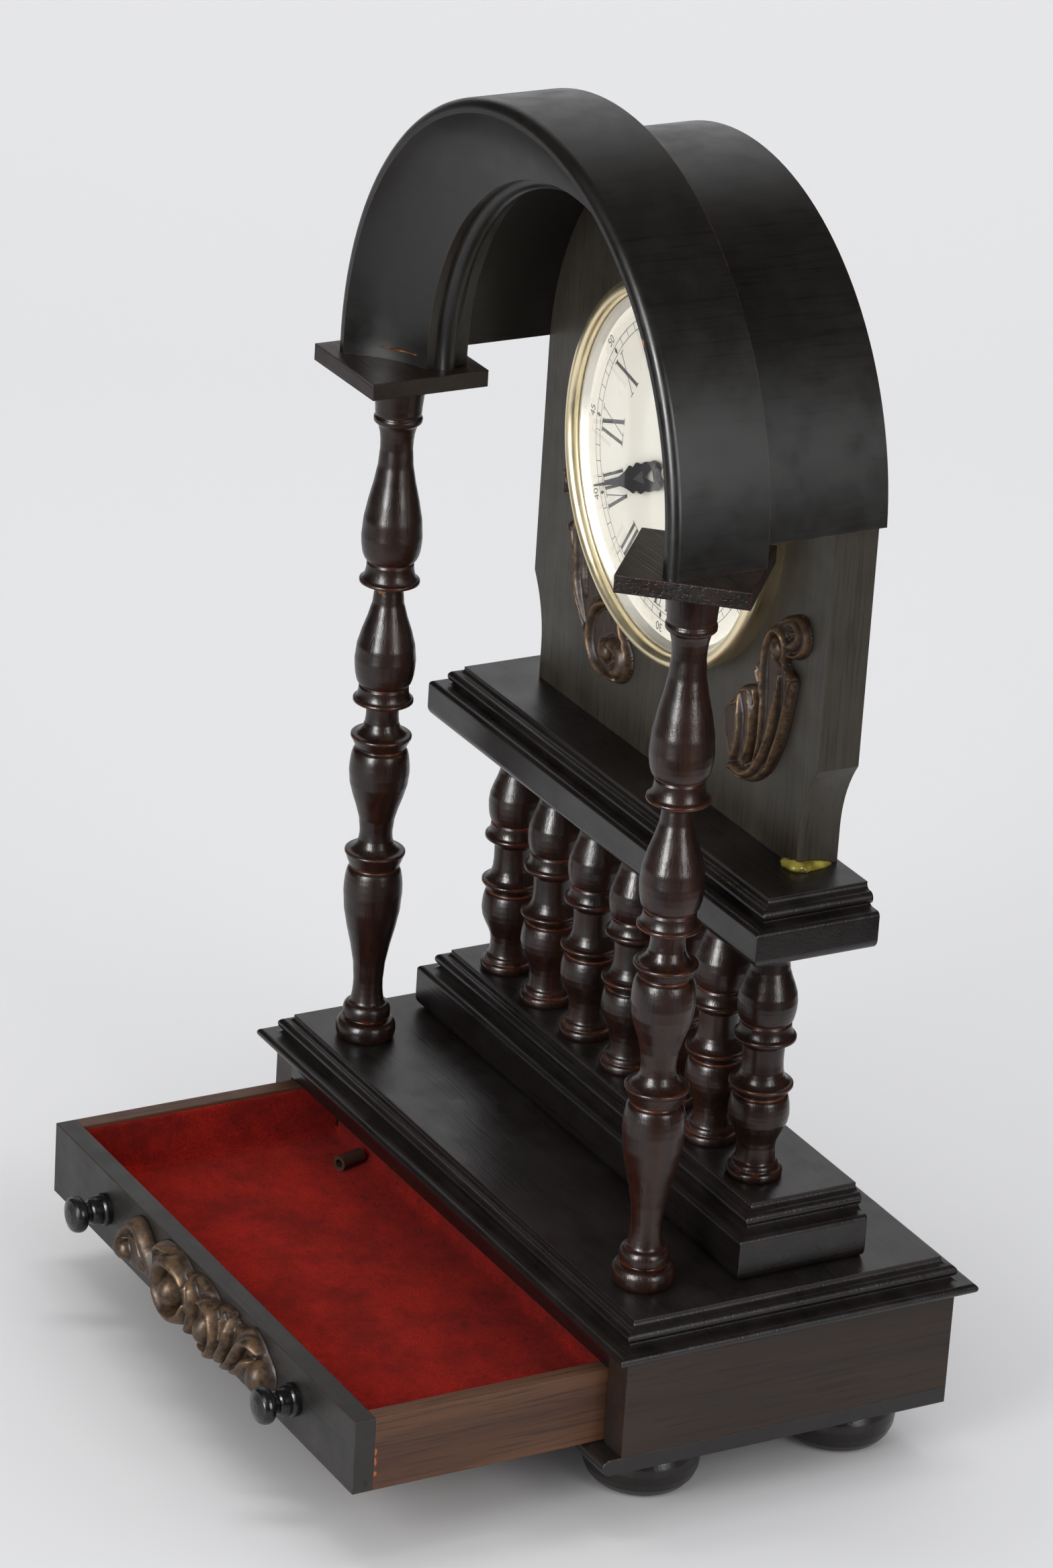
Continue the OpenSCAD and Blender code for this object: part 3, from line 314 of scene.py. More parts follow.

# %% [markdown]
# Every wooden piece is the same recipe with its own numbers: a deep and a light stain mixed by the bands, dark
# pores, bare red-brown wood where edges are worn, and dust on top. The grain runs up the turned pieces and the
# panel, along the boards, and from front to back on the sides. A few chips have a place of their own, and so
# has one near-black spot of painted shade, where a nail hole sits in the drawer front.

# %% Wood materials
GRAIN_TURN = {"x": (0, math.radians(90), 0), "y": (math.radians(90), 0, 0), "z": (0, 0, 0)}
DUST_COLOR = (0.16, 0.145, 0.13)
PORE_SHADE = 0.35


def near_spots(tree, position, spots):
    """A mask of ragged spots, each given by its place and radius in millimetres."""
    ragged = tree.ramp(tree.noise(position, 700, 4, 0.7), 0.3, 0.7, -0.5, 0.5)
    mask = 0.0
    for x, y, z, reach in spots:
        away = tree.vector("DISTANCE", position, (x / 1000, y / 1000, z / 1000))["Value"]
        share = tree.math("ADD", tree.math("DIVIDE", away, reach / 1000), ragged)
        mask = tree.math("MAXIMUM", mask, tree.ramp(share, 1.0, 0.85))
    return mask


def wood(name, deep, light, bare, along, band=60.0, gloss=0.36, wear=1.0, dusty=0.12, radius=0.0006,
         bump=0.12, shine=0.5, rounded=True, spots=(), raw=None, speckle=0.5):
    material, tree, shader, position = material_tree(name)
    turned = tree.add("ShaderNodeMapping", {"Vector": position, "Rotation": GRAIN_TURN[along]}).outputs[0]
    figure = tree.place(grain, {"Vector": turned, "Band size": band})
    stain = tree.mix(figure["Bands"], deep, light)
    pore_share = tree.math("MULTIPLY", figure["Pores"], 0.55)
    stain = tree.mix(pore_share, stain, tuple(c * PORE_SHADE for c in deep))
    grit = tree.math("MULTIPLY", tree.noise(position, 1300, 2, 0.6), -speckle)
    surface = tree.bump(tree.math("ADD", grit, figure["Pores"]), bump, 0.0002, invert=True)
    worn = tree.place(worn_edges, {"Radius": radius, "Amount": wear})
    if rounded:
        tree.feed(surface.inputs["Normal"], worn["Normal"])
    stain = tree.mix(worn["Edge"], stain, bare)
    # Each spot gets its own colour: raw wood for the chips, and near black as painted shade inside a nail hole.
    if spots:
        stain = tree.mix(near_spots(tree, position, spots), stain, raw)
    settled = tree.place(dust, {"Amount": dusty})["Dust"]
    uneven = tree.ramp(tree.noise(position, 90, 4, 0.6), 0.3, 0.7, gloss - 0.05, gloss + 0.08)
    tree.fill(shader, {"Base Color": tree.mix(settled, stain, DUST_COLOR),
                       "Roughness": tree.math("ADD", uneven, tree.math("MULTIPLY", settled, 0.4), True),
                       "Normal": surface, "Specular IOR Level": shine})
    return material


BARE = (0.17, 0.045, 0.018)
dark_boards = wood("dark_boards", (0.0065, 0.0052, 0.0048), (0.013, 0.0085, 0.0072), BARE, "x", gloss=0.3,
                   wear=0.35)
dark_turned = wood("dark_turned", (0.008, 0.004, 0.003), (0.036, 0.0115, 0.0056), (0.38, 0.085, 0.024), "z",
                   gloss=0.3, wear=3.0, dusty=0.04, radius=0.0011, rounded=False, shine=0.45, speckle=1.6,
                   spots=[(-91, -45, 232, 2.6), (-93, -47, 231, 1.8)], raw=(0.3, 0.12, 0.04))
dark_panel = wood("dark_panel", (0.031, 0.025, 0.0165), (0.053, 0.043, 0.0285), BARE, "z", gloss=0.46,
                  wear=0.5, dusty=0.04)
dark_arch = wood("dark_arch", (0.0078, 0.0064, 0.0054), (0.01, 0.0082, 0.0068), BARE, "y", gloss=0.35, wear=0.5,
                 dusty=0.05, bump=0.03, rounded=False, spots=[(81.9, -56.6, 375.3, 1.1)],
                 raw=(0.42, 0.15, 0.045))
dark_caps = wood("dark_caps", (0.0085, 0.0062, 0.005), (0.026, 0.013, 0.0085), BARE, "x", band=220, wear=0.5,
                 dusty=0.2, bump=0.35, shine=0.35)
walnut_sides = wood("walnut_sides", (0.011, 0.0068, 0.0045), (0.04, 0.0195, 0.011), (0.09, 0.045, 0.022), "y",
                    band=35, gloss=0.42, wear=0.3, shine=0.36)
drawer_wood = wood("drawer_wood", (0.046, 0.0175, 0.0085), (0.15, 0.062, 0.027), (0.3, 0.13, 0.05), "y",
                   band=32, gloss=0.5, wear=0.4, shine=0.35,
                   spots=[(108, -139.4, 38.5, 1.4), (108, -139.8, 35.2, 1.9), (108, -138.8, 31, 1.0)],
                   raw=(0.4, 0.1, 0.03))
# Its one spot is painted shade: near black where a nail hole sits at the front's right end.
drawer_face = wood("drawer_face", (0.01, 0.0078, 0.0065), (0.019, 0.014, 0.011), BARE, "x", gloss=0.46,
                   wear=0.35, spots=[(108, -141.4, 28, 1.1)], raw=(0.002, 0.002, 0.002))
dark_feet = wood("dark_feet", (0.005, 0.0036, 0.0034), (0.015, 0.0075, 0.006), (0.16, 0.05, 0.02), "z",
                 band=200, gloss=0.3, wear=1.2, dusty=0.04, radius=0.0011, shine=0.45, speckle=1.2)
black_knobs = wood("black_knobs", (0.004, 0.004, 0.0045), (0.008, 0.008, 0.009), (0.03, 0.02, 0.02), "y",
                   gloss=0.27, wear=0.2, dusty=0.05, rounded=False)
brown_tube = wood("brown_tube", (0.03, 0.014, 0.008), (0.065, 0.03, 0.016), (0.12, 0.07, 0.04), "y",
                  gloss=0.5, rounded=False)

# %% [markdown]
# Metals and glass. Brass keeps a flat metallic value and gets its life from roughness that varies with
# fingermarks and from a slight darkening. The ornaments are painted a dark bronze that is rubbed to gold on the
# ridges: their meshes carry a "rubbed" attribute that says where. Glass is clear and thin.


# %% Metal, dial and glass materials
def metal(name, color, dark, gloss, amount=0.3):
    material, tree, shader, position = material_tree(name)
    marks = tree.ramp(tree.noise(position, 60, 5, 0.65), 0.4, 0.75)
    tree.fill(shader, {"Base Color": tree.mix(tree.math("MULTIPLY", marks, amount), color, dark),
                       "Metallic": 1.0,
                       "Roughness": tree.math("ADD", tree.math("MULTIPLY", marks, 0.15), gloss)})
    return material


brass = metal("brass", (0.95, 0.83, 0.55), (0.7, 0.55, 0.28), 0.28, 0.2)
steel = metal("steel", (0.62, 0.62, 0.61), (0.35, 0.34, 0.33), 0.25)
movement_brass = metal("movement_brass", (0.5, 0.38, 0.18), (0.25, 0.17, 0.08), 0.32, 0.5)
hand_steel = metal("hand_steel", (0.05, 0.052, 0.058), (0.03, 0.03, 0.03), 0.35)
silvered = metal("silvered", (0.84, 0.82, 0.75), (0.6, 0.57, 0.5), 0.42)


def make_dial_paint():
    material, tree, shader, position = material_tree("dial_paint")
    clouds = tree.ramp(tree.noise(position, 30, 5, 0.6), 0.35, 0.7)
    tree.fill(shader, {"Base Color": tree.mix(clouds, (0.94, 0.91, 0.81), (0.9, 0.86, 0.74)),
                       "Roughness": tree.ramp(tree.noise(position, 400, 3), 0.3, 0.7, 0.42, 0.55)})
    return material


def make_ink():
    material, tree, shader, position = material_tree("dial_ink")
    worn = tree.ramp(tree.noise(position, 260, 4, 0.7), 0.45, 0.8)
    tree.fill(shader, {"Base Color": tree.mix(worn, (0.022, 0.022, 0.024), (0.1, 0.095, 0.08)),
                       "Roughness": 0.5})
    return material


def make_glue(name, thin, thick):
    material, tree, shader, position = material_tree(name)
    clouds = tree.ramp(tree.noise(position, 260, 4), 0.4, 0.65)
    tree.fill(shader, {"Base Color": tree.mix(clouds, thin, thick),
                       "Roughness": tree.ramp(clouds, 0, 1, 0.12, 0.28)})
    return material


def make_glass():
    material, tree, shader, position = material_tree("clear_glass")
    smears = tree.ramp(tree.noise(position, 25, 3), 0.4, 0.8, 0.1, 0.14)
    tree.fill(shader, {"Base Color": (1, 1, 1), "Transmission Weight": 1.0, "IOR": 1.45, "Roughness": 0.0,
                       "Alpha": smears})
    return material


def make_felt():
    material, tree, shader, position = material_tree("red_felt")
    fibres = tree.noise(position, 1800, 3, 0.75)
    clouds = tree.ramp(tree.noise(position, 45, 7, 0.78), 0.38, 0.62)
    color = tree.mix(clouds, (0.17, 0.0068, 0.0038), (0.37, 0.0125, 0.006))
    color = tree.mix(tree.ramp(fibres, 0.46, 0.7), color, (0.085, 0.0038, 0.003))
    # Near-black blotches, more of them towards the back of the drawer.
    dark_blotches = tree.ramp(tree.noise(position, 300, 5, 0.85), 0.575, 0.64)
    depth = tree.add("ShaderNodeSeparateXYZ", {0: position}).outputs[1]
    back_heavy_blotches = tree.math("MULTIPLY", dark_blotches, tree.ramp(depth, -0.125, -0.04, 0.15, 0.85))
    tree.fill(shader, {"Base Color": tree.mix(back_heavy_blotches, color, (0.02, 0.0035, 0.003)), "Roughness": 1.0,
                       "Specular IOR Level": 0.1, "Sheen Weight": 0.12, "Sheen Tint": (1.0, 0.2, 0.15),
                       "Normal": tree.bump(fibres, 0.7, 0.0004)})
    return material


def make_old_bronze():
    material, tree, shader, position = material_tree("old_bronze")
    dirt = tree.ramp(tree.noise(position, 240, 5, 0.7), 0.35, 0.7)
    paint = tree.mix(dirt, (0.022, 0.0112, 0.0064), (0.052, 0.026, 0.0145))
    rubbed = tree.add("ShaderNodeAttribute", attribute_name="rubbed").outputs["Fac"]
    gilt = tree.math("MULTIPLY", rubbed, tree.ramp(tree.noise(position, 320, 4, 0.65), 0.36, 0.58), True)
    tree.fill(shader, {"Base Color": tree.mix(gilt, paint, (0.21, 0.128, 0.066)),
                       "Metallic": tree.math("MULTIPLY", gilt, 0.7),
                       "Roughness": tree.ramp(dirt, 0, 1, 0.38, 0.55),
                       "Specular IOR Level": 0.35, "Normal": tree.bump(dirt, 0.15, 0.0002)})
    return material


dial_paint, dial_ink, clear_glass = make_dial_paint(), make_ink(), make_glass()
red_felt, old_bronze = make_felt(), make_old_bronze()
old_glue = make_glue("old_glue", (0.17, 0.13, 0.018), (0.38, 0.33, 0.06))
orange_glue = make_glue("orange_glue", (0.1, 0.03, 0.006), (0.26, 0.09, 0.018))

# %% [markdown]
# Each solid now gets its finish by name.

# %% Finish every solid
FINISH = {key: finish for finish, keys in (
    (dark_boards, "base_bottom base_rail base_top pedestal shelf"), (walnut_sides, "base_side base_back"),
    (drawer_face, "drawer_front"), (drawer_wood, "drawer_side drawer_back drawer_bottom"),
    (red_felt, "drawer_lining"), (black_knobs, "drawer_knob"), (old_bronze, "drawer_carving scroll"),
    (brown_tube, "drawer_tube"), (dark_feet, "foot"), (dark_turned, "baluster column"), (dark_caps, "cap"),
    (dark_arch, "front_arch hood"), (dark_panel, "dial_panel"), (silvered, "dial_surround"),
    (brass, "bezel hour_pipe hand_nut set_knob winding_key"), (clear_glass, "glass"),
    (dial_paint, "dial_plate"), (hand_steel, "hour_hand minute_hand"), (steel, "centre_arbor"),
    (movement_brass, "movement_drum clamp_ring"),
) for key in keys.split()}


def finish_for(name):
    return FINISH[max((key for key in FINISH if name.startswith(key)), key=len)]


for name, solid in nodes.items():
    solid.data.materials.clear()
    solid.data.materials.append(finish_for(name))

# %% [markdown]
# The felt in the drawer is one sheet, folded up at the four walls. It starts as a grid that is bent along two
# fold lines each way, with a soft round at the folds and a slight wave, and then gets its thickness. A flat box
# would give a knife-sharp corner, which felt never has.


# %% Felt sheet
def new_object(name, vertices, faces, material, body, smooth=True):
    mesh = bpy.data.meshes.new(name)
    mesh.from_pydata(vertices, [], faces)
    mesh.update()
    if smooth:
        mesh.polygons.foreach_set("use_smooth", [True] * len(mesh.polygons))
    mesh.materials.append(material)
    made = linked(name, mesh)
    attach(made, body)
    return made


def folded(reach, inner, height, fold):
    """Where a point of the flat sheet goes: its place across the tray and its height."""
    side, along = math.copysign(1, reach), abs(reach)
    flat = inner - fold
    bend = fold * math.pi / 2
    if along <= flat:
        return side * along, 0.0
    if along <= flat + bend:
        turn = (along - flat) / fold
        return side * (flat + fold * math.sin(turn)), fold - fold * math.cos(turn)
    return side * inner, min(fold + along - flat - bend, height)


def make_felt_sheet():
    low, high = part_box("drawer_lining")
    thick, gap, fold = 0.0009, 0.00008, 0.0022
    half = [(high.x - low.x) / 2 - gap - thick, (high.y - low.y) / 2 - gap - thick]
    middle = (low + high) / 2
    height = high.z - low.z - gap - thick
    rim = [h - fold + fold * math.pi / 2 + height - fold for h in half]
    count = [150, 84]
    spread = [[-rim[a] + 2 * rim[a] * i / count[a] for i in range(count[a] + 1)] for a in (0, 1)]
    vertices, faces, index = [], [], {}
    for i, u in enumerate(spread[0]):
        for j, v in enumerate(spread[1]):
            x, up_x = folded(u, half[0], height, fold)
            y, up_y = folded(v, half[1], height, fold)
            if up_x > 0 and up_y > 0 and abs(abs(x) - half[0]) < 1e-9 and abs(abs(y) - half[1]) < 1e-9:
                continue
            place_here = Vector((middle.x + x, middle.y + y, low.z + gap + thick + max(up_x, up_y)))
            wave = noise.noise(place_here * 55) * 0.00035 + noise.noise(place_here * 240) * 0.00012
            index[i, j] = len(vertices)
            vertices.append(place_here + Vector((0, 0, abs(wave))) if max(up_x, up_y) < 0.0005 else place_here)
    for i in range(count[0]):
        for j in range(count[1]):
            corners = [index.get(k) for k in ((i, j), (i + 1, j), (i + 1, j + 1), (i, j + 1))]
            if None not in corners:
                faces.append(corners)
    sheet = new_object("felt_sheet", vertices, faces, red_felt, "drawer")
    with reshaping(sheet.data) as shape:
        bmesh.ops.remove_doubles(shape, verts=shape.verts, dist=1e-6)
    solidify = sheet.modifiers.new("thickness", "SOLIDIFY")
    solidify.thickness, solidify.offset = thick, -1
    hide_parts("drawer_lining")
    return sheet


felt_sheet = make_felt_sheet()
print("felt:", [round(1000 * x) for x in felt_sheet.dimensions], "mm")

# %% [markdown]
# The turner's work. Highlights on round, glossy wood show every step of a coarse mesh, so each turned piece is
# spun again from its own profile. The profile is read from the solid's rings, then a smooth curve is laid
# through them that keeps the true corners, and 64 copies of it are joined around the axis.


# %% Turned pieces
def read_profile(solid):
    """The solid's axis, and its outline as rows of height and radius in metres, from bottom to top."""
    places = np.empty(len(solid.data.vertices) * 3)
    solid.data.vertices.foreach_get("co", places)
    places = places.reshape(-1, 3)
    axis = (places.min(0) + places.max(0)) / 2
    radii = np.hypot(places[:, 0] - axis[0], places[:, 1] - axis[1])
    levels, ring = np.unique((places[:, 2] * 1e6).round() / 1e6, return_inverse=True)
    inner, outer = np.full(len(levels), 9.0), np.zeros(len(levels))
    np.minimum.at(inner, ring, radii)
    np.maximum.at(outer, ring, radii)
    rows = []
    for i, level in enumerate(levels):
        if outer[i] - inner[i] > 0.0004:
            below = outer[i - 1] if i else outer[i]
            pair = sorted((inner[i], outer[i]), key=lambda radius: abs(radius - below))
            rows += [(level, radius) for radius in pair] if i and i < len(levels) - 1 else [(level, outer[i])]
        else:
            rows.append((level, outer[i]))
    return axis, np.array(rows)


def smooth_profile(rows, step=0.00045, corner=math.radians(40)):
    """A finer outline through the rows: smooth where they turn gently, sharp at the corners."""
    ways = np.diff(rows, axis=0)
    lengths = np.maximum(np.linalg.norm(ways, axis=1), 1e-9)
    units = ways / lengths[:, None]
    made = [rows[0]]
    for i, (way, length) in enumerate(zip(units, lengths)):
        leaving = arriving = way
        if i and math.acos(max(-1, min(1, units[i - 1] @ way))) < corner:
            leaving = (units[i - 1] * length + way * lengths[i - 1]) / (length + lengths[i - 1])
        if i < len(units) - 1 and math.acos(max(-1, min(1, units[i + 1] @ way))) < corner:
            arriving = (units[i + 1] * length + way * lengths[i + 1]) / (length + lengths[i + 1])
        for s in np.linspace(0, 1, max(2, math.ceil(length / step) + 1))[1:]:
            made.append((2 * s ** 3 - 3 * s ** 2 + 1) * rows[i] + (3 * s ** 2 - 2 * s ** 3) * rows[i + 1]
                        + ((s ** 3 - 2 * s ** 2 + s) * leaving + (s ** 3 - s ** 2) * arriving) * length)
    return np.array(made)


def tube_faces(rows, around):
    """Faces of a tube whose vertices come row by row, with both ends closed."""
    faces = []
    for start in range(0, (rows - 1) * around, around):
        for k in range(around):
            a, b = start + k, start + (k + 1) % around
            faces.append((a, b, b + around, a + around))
    return faces + [tuple(reversed(range(around))), tuple(range((rows - 1) * around, rows * around))]


def turn_again(name, around=64):
    axis, rows = read_profile(nodes[name])
    outline = smooth_profile(rows)
    angles = np.arange(around) * math.tau / around
    vertices = [(axis[0] + r * math.cos(a), axis[1] + r * math.sin(a), z) for z, r in outline for a in angles]
    faces = tube_faces(len(outline), around)
    finish = dark_feet if name.startswith("foot") else dark_turned
    piece = new_object(name + "_turned", vertices, faces, finish, "case")
    for end in (-1, -2):
        piece.data.polygons[end].use_smooth = False
    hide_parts(name)
    return piece


turned = [turn_again(name) for name in sorted(nodes) if name.startswith(("column", "baluster", "foot"))]
print("turned:", len(turned), "pieces,", sum(len(piece.data.polygons) for piece in turned), "faces")

# %% [markdown]
# The carver's work. Each ornament is a height field: for every point of a fine grid, distances to a few drawn
# lines decide how high the surface stands. A rounded bar follows each ridge, a dome fills each boss, the border
# rolls up before it falls to the ground, and noise leaves the marks of the gouge. Distances make this easy to
# read and change, where pushing single vertices would not be. Lines are in millimetres on the flat ground.


# %% Height fields
def through(points, closed=False, steps=8):
    """A smooth line through the points, as an array."""
    p = np.array(points, float)
    count = len(p)
    spans = count if closed else count - 1
    made = []
    for i in range(spans):
        a, b, c, d = [p[k % count] if closed else p[min(max(k, 0), count - 1)] for k in range(i - 1, i + 3)]
        for s in np.arange(steps) / steps:
            made.append(b + (c - a) * s / 2 + (a - 2.5 * b + 2 * c - d / 2) * s * s
                        + (1.5 * (b - c) + (d - a) / 2) * s ** 3)
    return np.array(made if closed else made + [p[-1]])


def distance(places, line, closed=False):
    """Distance of every place to the line, and how far along the line its nearest point lies, from 0 to 1."""
    ends = np.roll(line, -1, 0) if closed else line[1:]
    starts = line if closed else line[:-1]
    best, along = np.full(len(places), 1e9), np.zeros(len(places))
    for i, (a, b) in enumerate(zip(starts, ends)):
        way = b - a
        share = np.clip(((places - a) @ way) / max(way @ way, 1e-12), 0, 1)
        gap = np.linalg.norm(places - a - share[:, None] * way, axis=1)
        nearer = gap < best
        best[nearer], along[nearer] = gap[nearer], ((i + share) / len(starts))[nearer]
    return best, along


def inside(places, line):
    crossings = np.zeros(len(places), bool)
    for a, b in zip(line, np.roll(line, -1, 0)):
        spans = (a[1] > places[:, 1]) != (b[1] > places[:, 1])
        if a[1] != b[1]:
            at = a[0] + (places[:, 1] - a[1]) * (b[0] - a[0]) / (b[1] - a[1])
            crossings ^= spans & (places[:, 0] < at)
    return crossings


def bell(value, centre, width):
    return np.exp(-((value - centre) / width) ** 2)


def carved_heights(places, depth_in, design, buried=9, soft=0.28):
    """Height over the ground in millimetres at every place. What a ridge or boss misses lies buried."""
    rim = 1 - np.exp(-np.maximum(depth_in, 0) / design["edge"])
    layers = [design["ground"] * rim + design["roll"] * bell(depth_in, 1.1, 0.75)]
    low = design["ground"] * 0.7
    for half, top, points in design["ridges"]:
        gap, along = distance(places, through(points))
        taper = np.minimum(1, 0.45 + 2.6 * np.minimum(along, 1 - along))
        width = 1.15 * half * taper
        bar = np.maximum(0, 1 - (gap / width) ** 2) ** design["round"]
        layers.append(low + (top * (0.5 + 0.5 * taper) - low) * bar - (bar == 0) * buried)
        layers[0] -= 0.5 * bell(gap - width, 0.4, 0.6) * rim
    for (x, y), (wide, tall), lean, top in design["bosses"]:
        c, s = math.cos(math.radians(lean)), math.sin(math.radians(lean))
        across, along = places[:, 0] - x, places[:, 1] - y
        far = np.sqrt(((c * across + s * along) / wide) ** 2 + ((c * along - s * across) / tall) ** 2)
        dome = np.sqrt(np.maximum(0, 1 - far ** 2))
        layers.append(design["ground"] + (top - design["ground"]) * dome - (dome == 0) * buried)
        layers[0] -= 0.9 * bell(far, 1.2, 0.16) * rim
    stack = np.array(layers)
    peak = stack.max(0)
    blend = peak + soft * np.log(np.exp((stack - peak) / soft).sum(0))
    marks = np.array([noise.noise((x * 0.45, y * 0.45, 1)) * 0.1 + noise.noise((x * 1.6, y * 1.6, 7)) * 0.035
                      for x, y in places])
    return np.clip((blend + marks) * (0.25 + 0.75 * rim), 0.25, None)


def softened(grid, weight, rounds=3):
    """The grid's mean around each used place."""
    for _ in range(rounds):
        for data in (grid, weight):
            sides = data[2:, 1:-1] + data[:-2, 1:-1] + data[1:-1, 2:] + data[1:-1, :-2]
            data[1:-1, 1:-1] = (data[1:-1, 1:-1] * 2 + sides) / 6
    return grid / np.maximum(weight, 1e-6)


def carve(node, design, body, keep_out=None, step=0.32, margin=0.06):
    """A closed relief that stands on the node's back plane and stays inside the node's box."""
    low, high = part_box(node)
    outline = through(design["outline"], closed=True, steps=5)
    corner, far_corner = outline.min(0), outline.max(0)
    room = np.array([(high.x - low.x), (high.z - low.z)]) * 1000 if design["fill"] else far_corner - corner
    scale = (room - 2 * margin) / (far_corner - corner)
    outline = (outline - corner) * scale + margin
    counts = np.ceil(room / step).astype(int) + 2
    gx, gy = np.meshgrid(np.arange(counts[0]) * step, np.arange(counts[1]) * step, indexing="ij")
    flat = np.stack([gx.ravel(), gy.ravel()], 1)
    gap, _ = distance(flat, outline, True)
    depth_in = np.where(inside(flat, outline), gap, -gap)
    if keep_out:
        centre, radius = keep_out
        middle = np.array([(centre.x - low.x) * 1000, (centre.z - low.z) * 1000])
        depth_in = np.minimum(depth_in, np.linalg.norm(flat - middle, axis=1) - radius)
    field = depth_in.reshape(gx.shape)
    slope = np.stack(np.gradient(field, step), -1).reshape(-1, 2)
    near_rim = (depth_in < 0) & (depth_in > -1.5 * step)
    pull = depth_in[:, None] * slope / np.maximum((slope ** 2).sum(1, keepdims=True), 0.25)
    flat = np.where(near_rim[:, None], flat - pull, flat)
    held = field > 0
    cells = held[:-1, :-1] | held[1:, :-1] | held[1:, 1:] | held[:-1, 1:]
    used = np.zeros(gx.shape, bool)
    here, beyond = slice(None, -1), slice(1, None)
    for a, b in ((here, here), (beyond, here), (beyond, beyond), (here, beyond)):
        used[a, b] |= cells
    number = np.full(gx.shape, -1)
    number[used] = np.arange(used.sum())
    kept = used.ravel()
    unscaled = (flat[kept] - margin) / scale + corner
    heights = carved_heights(unscaled, np.maximum(depth_in[kept], 0), design)
    out = (high.y - low.y) * 1000
    heights = np.clip(heights * out / design["top"], 0.2, out - 0.03)
    vertices = [(low.x + x / 1000, high.y - h / 1000, low.z + z / 1000)
                for (x, z), h in zip(flat[kept], heights)]
    faces = [(number[i, j], number[i + 1, j], number[i + 1, j + 1], number[i, j + 1])
             for i, j in zip(*np.nonzero(cells))]
    ornament = new_object(node + "_relief", vertices, faces, old_bronze, body)
    grid = np.zeros(gx.shape)
    grid[used] = heights
    crest = np.clip((heights - softened(grid, used.astype(float))[used]) * 9, 0, 1)
    rubbed = np.clip(crest * 0.75 + np.clip((heights / out - 0.7) * 0.9, 0, 0.25), 0, 1)
    with reshaping(ornament.data) as shape:
        layer = shape.verts.layers.float.new("rubbed")
        for vertex, value in zip(shape.verts, rubbed):
            vertex[layer] = float(value)
        rim_edges = [e for e in shape.edges if e.is_boundary]
        grown = bmesh.ops.extrude_edge_only(shape, edges=rim_edges)["geom"]
        for vertex in (g for g in grown if isinstance(g, bmesh.types.BMVert)):
            vertex.co.y = high.y - 0.00002
        bmesh.ops.remove_doubles(shape, verts=shape.verts, dist=1e-7)
        bmesh.ops.holes_fill(shape, edges=[e for e in shape.edges if e.is_boundary], sides=0)
        bmesh.ops.triangulate(shape, faces=[f for f in shape.faces if len(f.verts) > 4])
        bmesh.ops.recalc_face_normals(shape, faces=shape.faces)
    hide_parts(node)
    return ornament


# %% [markdown]
# The three drawings: outlines, ridges (half width, height, line) and bosses (place, radii, lean, height). They
# were drawn over the photograph once it had been straightened onto the ornament's ground. What the column, the
# bezel and the steep view hide is guessed, and so are the heights.

# %% Scrolls and carving
RIGHT_SCROLL = {
    "outline": [
        (15.6, 7.6), (18.4, 10), (20.8, 16), (21.9, 23), (22, 30), (21.4, 33.6), (18.5, 35), (15.6, 39),
        (17, 42.6), (20.4, 43.6), (20.6, 47), (21.4, 51.5), (23.8, 56.2), (27.5, 60.2), (33, 63.4),
        (38.6, 65.4), (43, 63.4), (44.8, 58.5), (43, 53.8), (39, 50.8), (34.6, 49.4), (33.4, 47.6),
        (35.4, 46.4), (39.4, 44.2), (38.8, 39), (37.4, 33), (35.9, 26), (33.2, 18.6), (29.5, 11.6), (25, 6.6),
        (19.5, 2.8), (13, 0.6), (7, 0.5), (3.3, 2.2), (4.8, 5), (3.6, 9), (1.2, 14), (0.2, 20), (3, 24.2),
        (6, 26), (6.4, 28.6), (8.8, 31), (13, 33), (17, 33.8), (18.6, 30.6), (19, 24), (18.6, 17), (17, 11)],
    "ridges": [
        (1.5, 4.4, [(18.2, 9), (21.6, 15.4), (22.9, 23), (23, 30), (22.4, 38), (21.9, 45), (22.8, 51),
                    (25.4, 55.4), (29, 57.2), (32.4, 55.6), (33.4, 51.6), (31.4, 48)]),
        (1.5, 4.7, [(31.4, 43), (31.6, 37), (30.4, 28.4), (28.4, 21), (25, 13.6), (20.6, 7.4), (15, 4.4),
                    (9, 4.2), (5.4, 2.8)]),
        (1.4, 4.0, [(13, 31.4), (16.6, 26), (17.4, 18), (15.8, 11), (13.6, 6.4)]),
        (1.4, 4.2, [(8.8, 28), (10.4, 22), (10.8, 15.4), (9.6, 9.6), (6.8, 6)]),
        (1.8, 4.0, [(33, 53.6), (38, 55.6), (41, 59.4), (38.6, 62.4), (33.4, 60.8)]),
        (1.2, 3.6, [(36.6, 43.2), (36.4, 37), (34.8, 29), (32, 20), (27.6, 12)]),
        (1.1, 3.4, [(17.4, 41), (18.6, 38), (20.4, 36)])],
    "bosses": [((29, 51.4), (3.3, 3.3), 0, 4.7), ((37, 45), (1.8, 1.2), -25, 4.2)],
    "ground": 2.6, "roll": 1.0, "edge": 0.6, "round": 1.1, "top": 4.8, "fill": True,
}
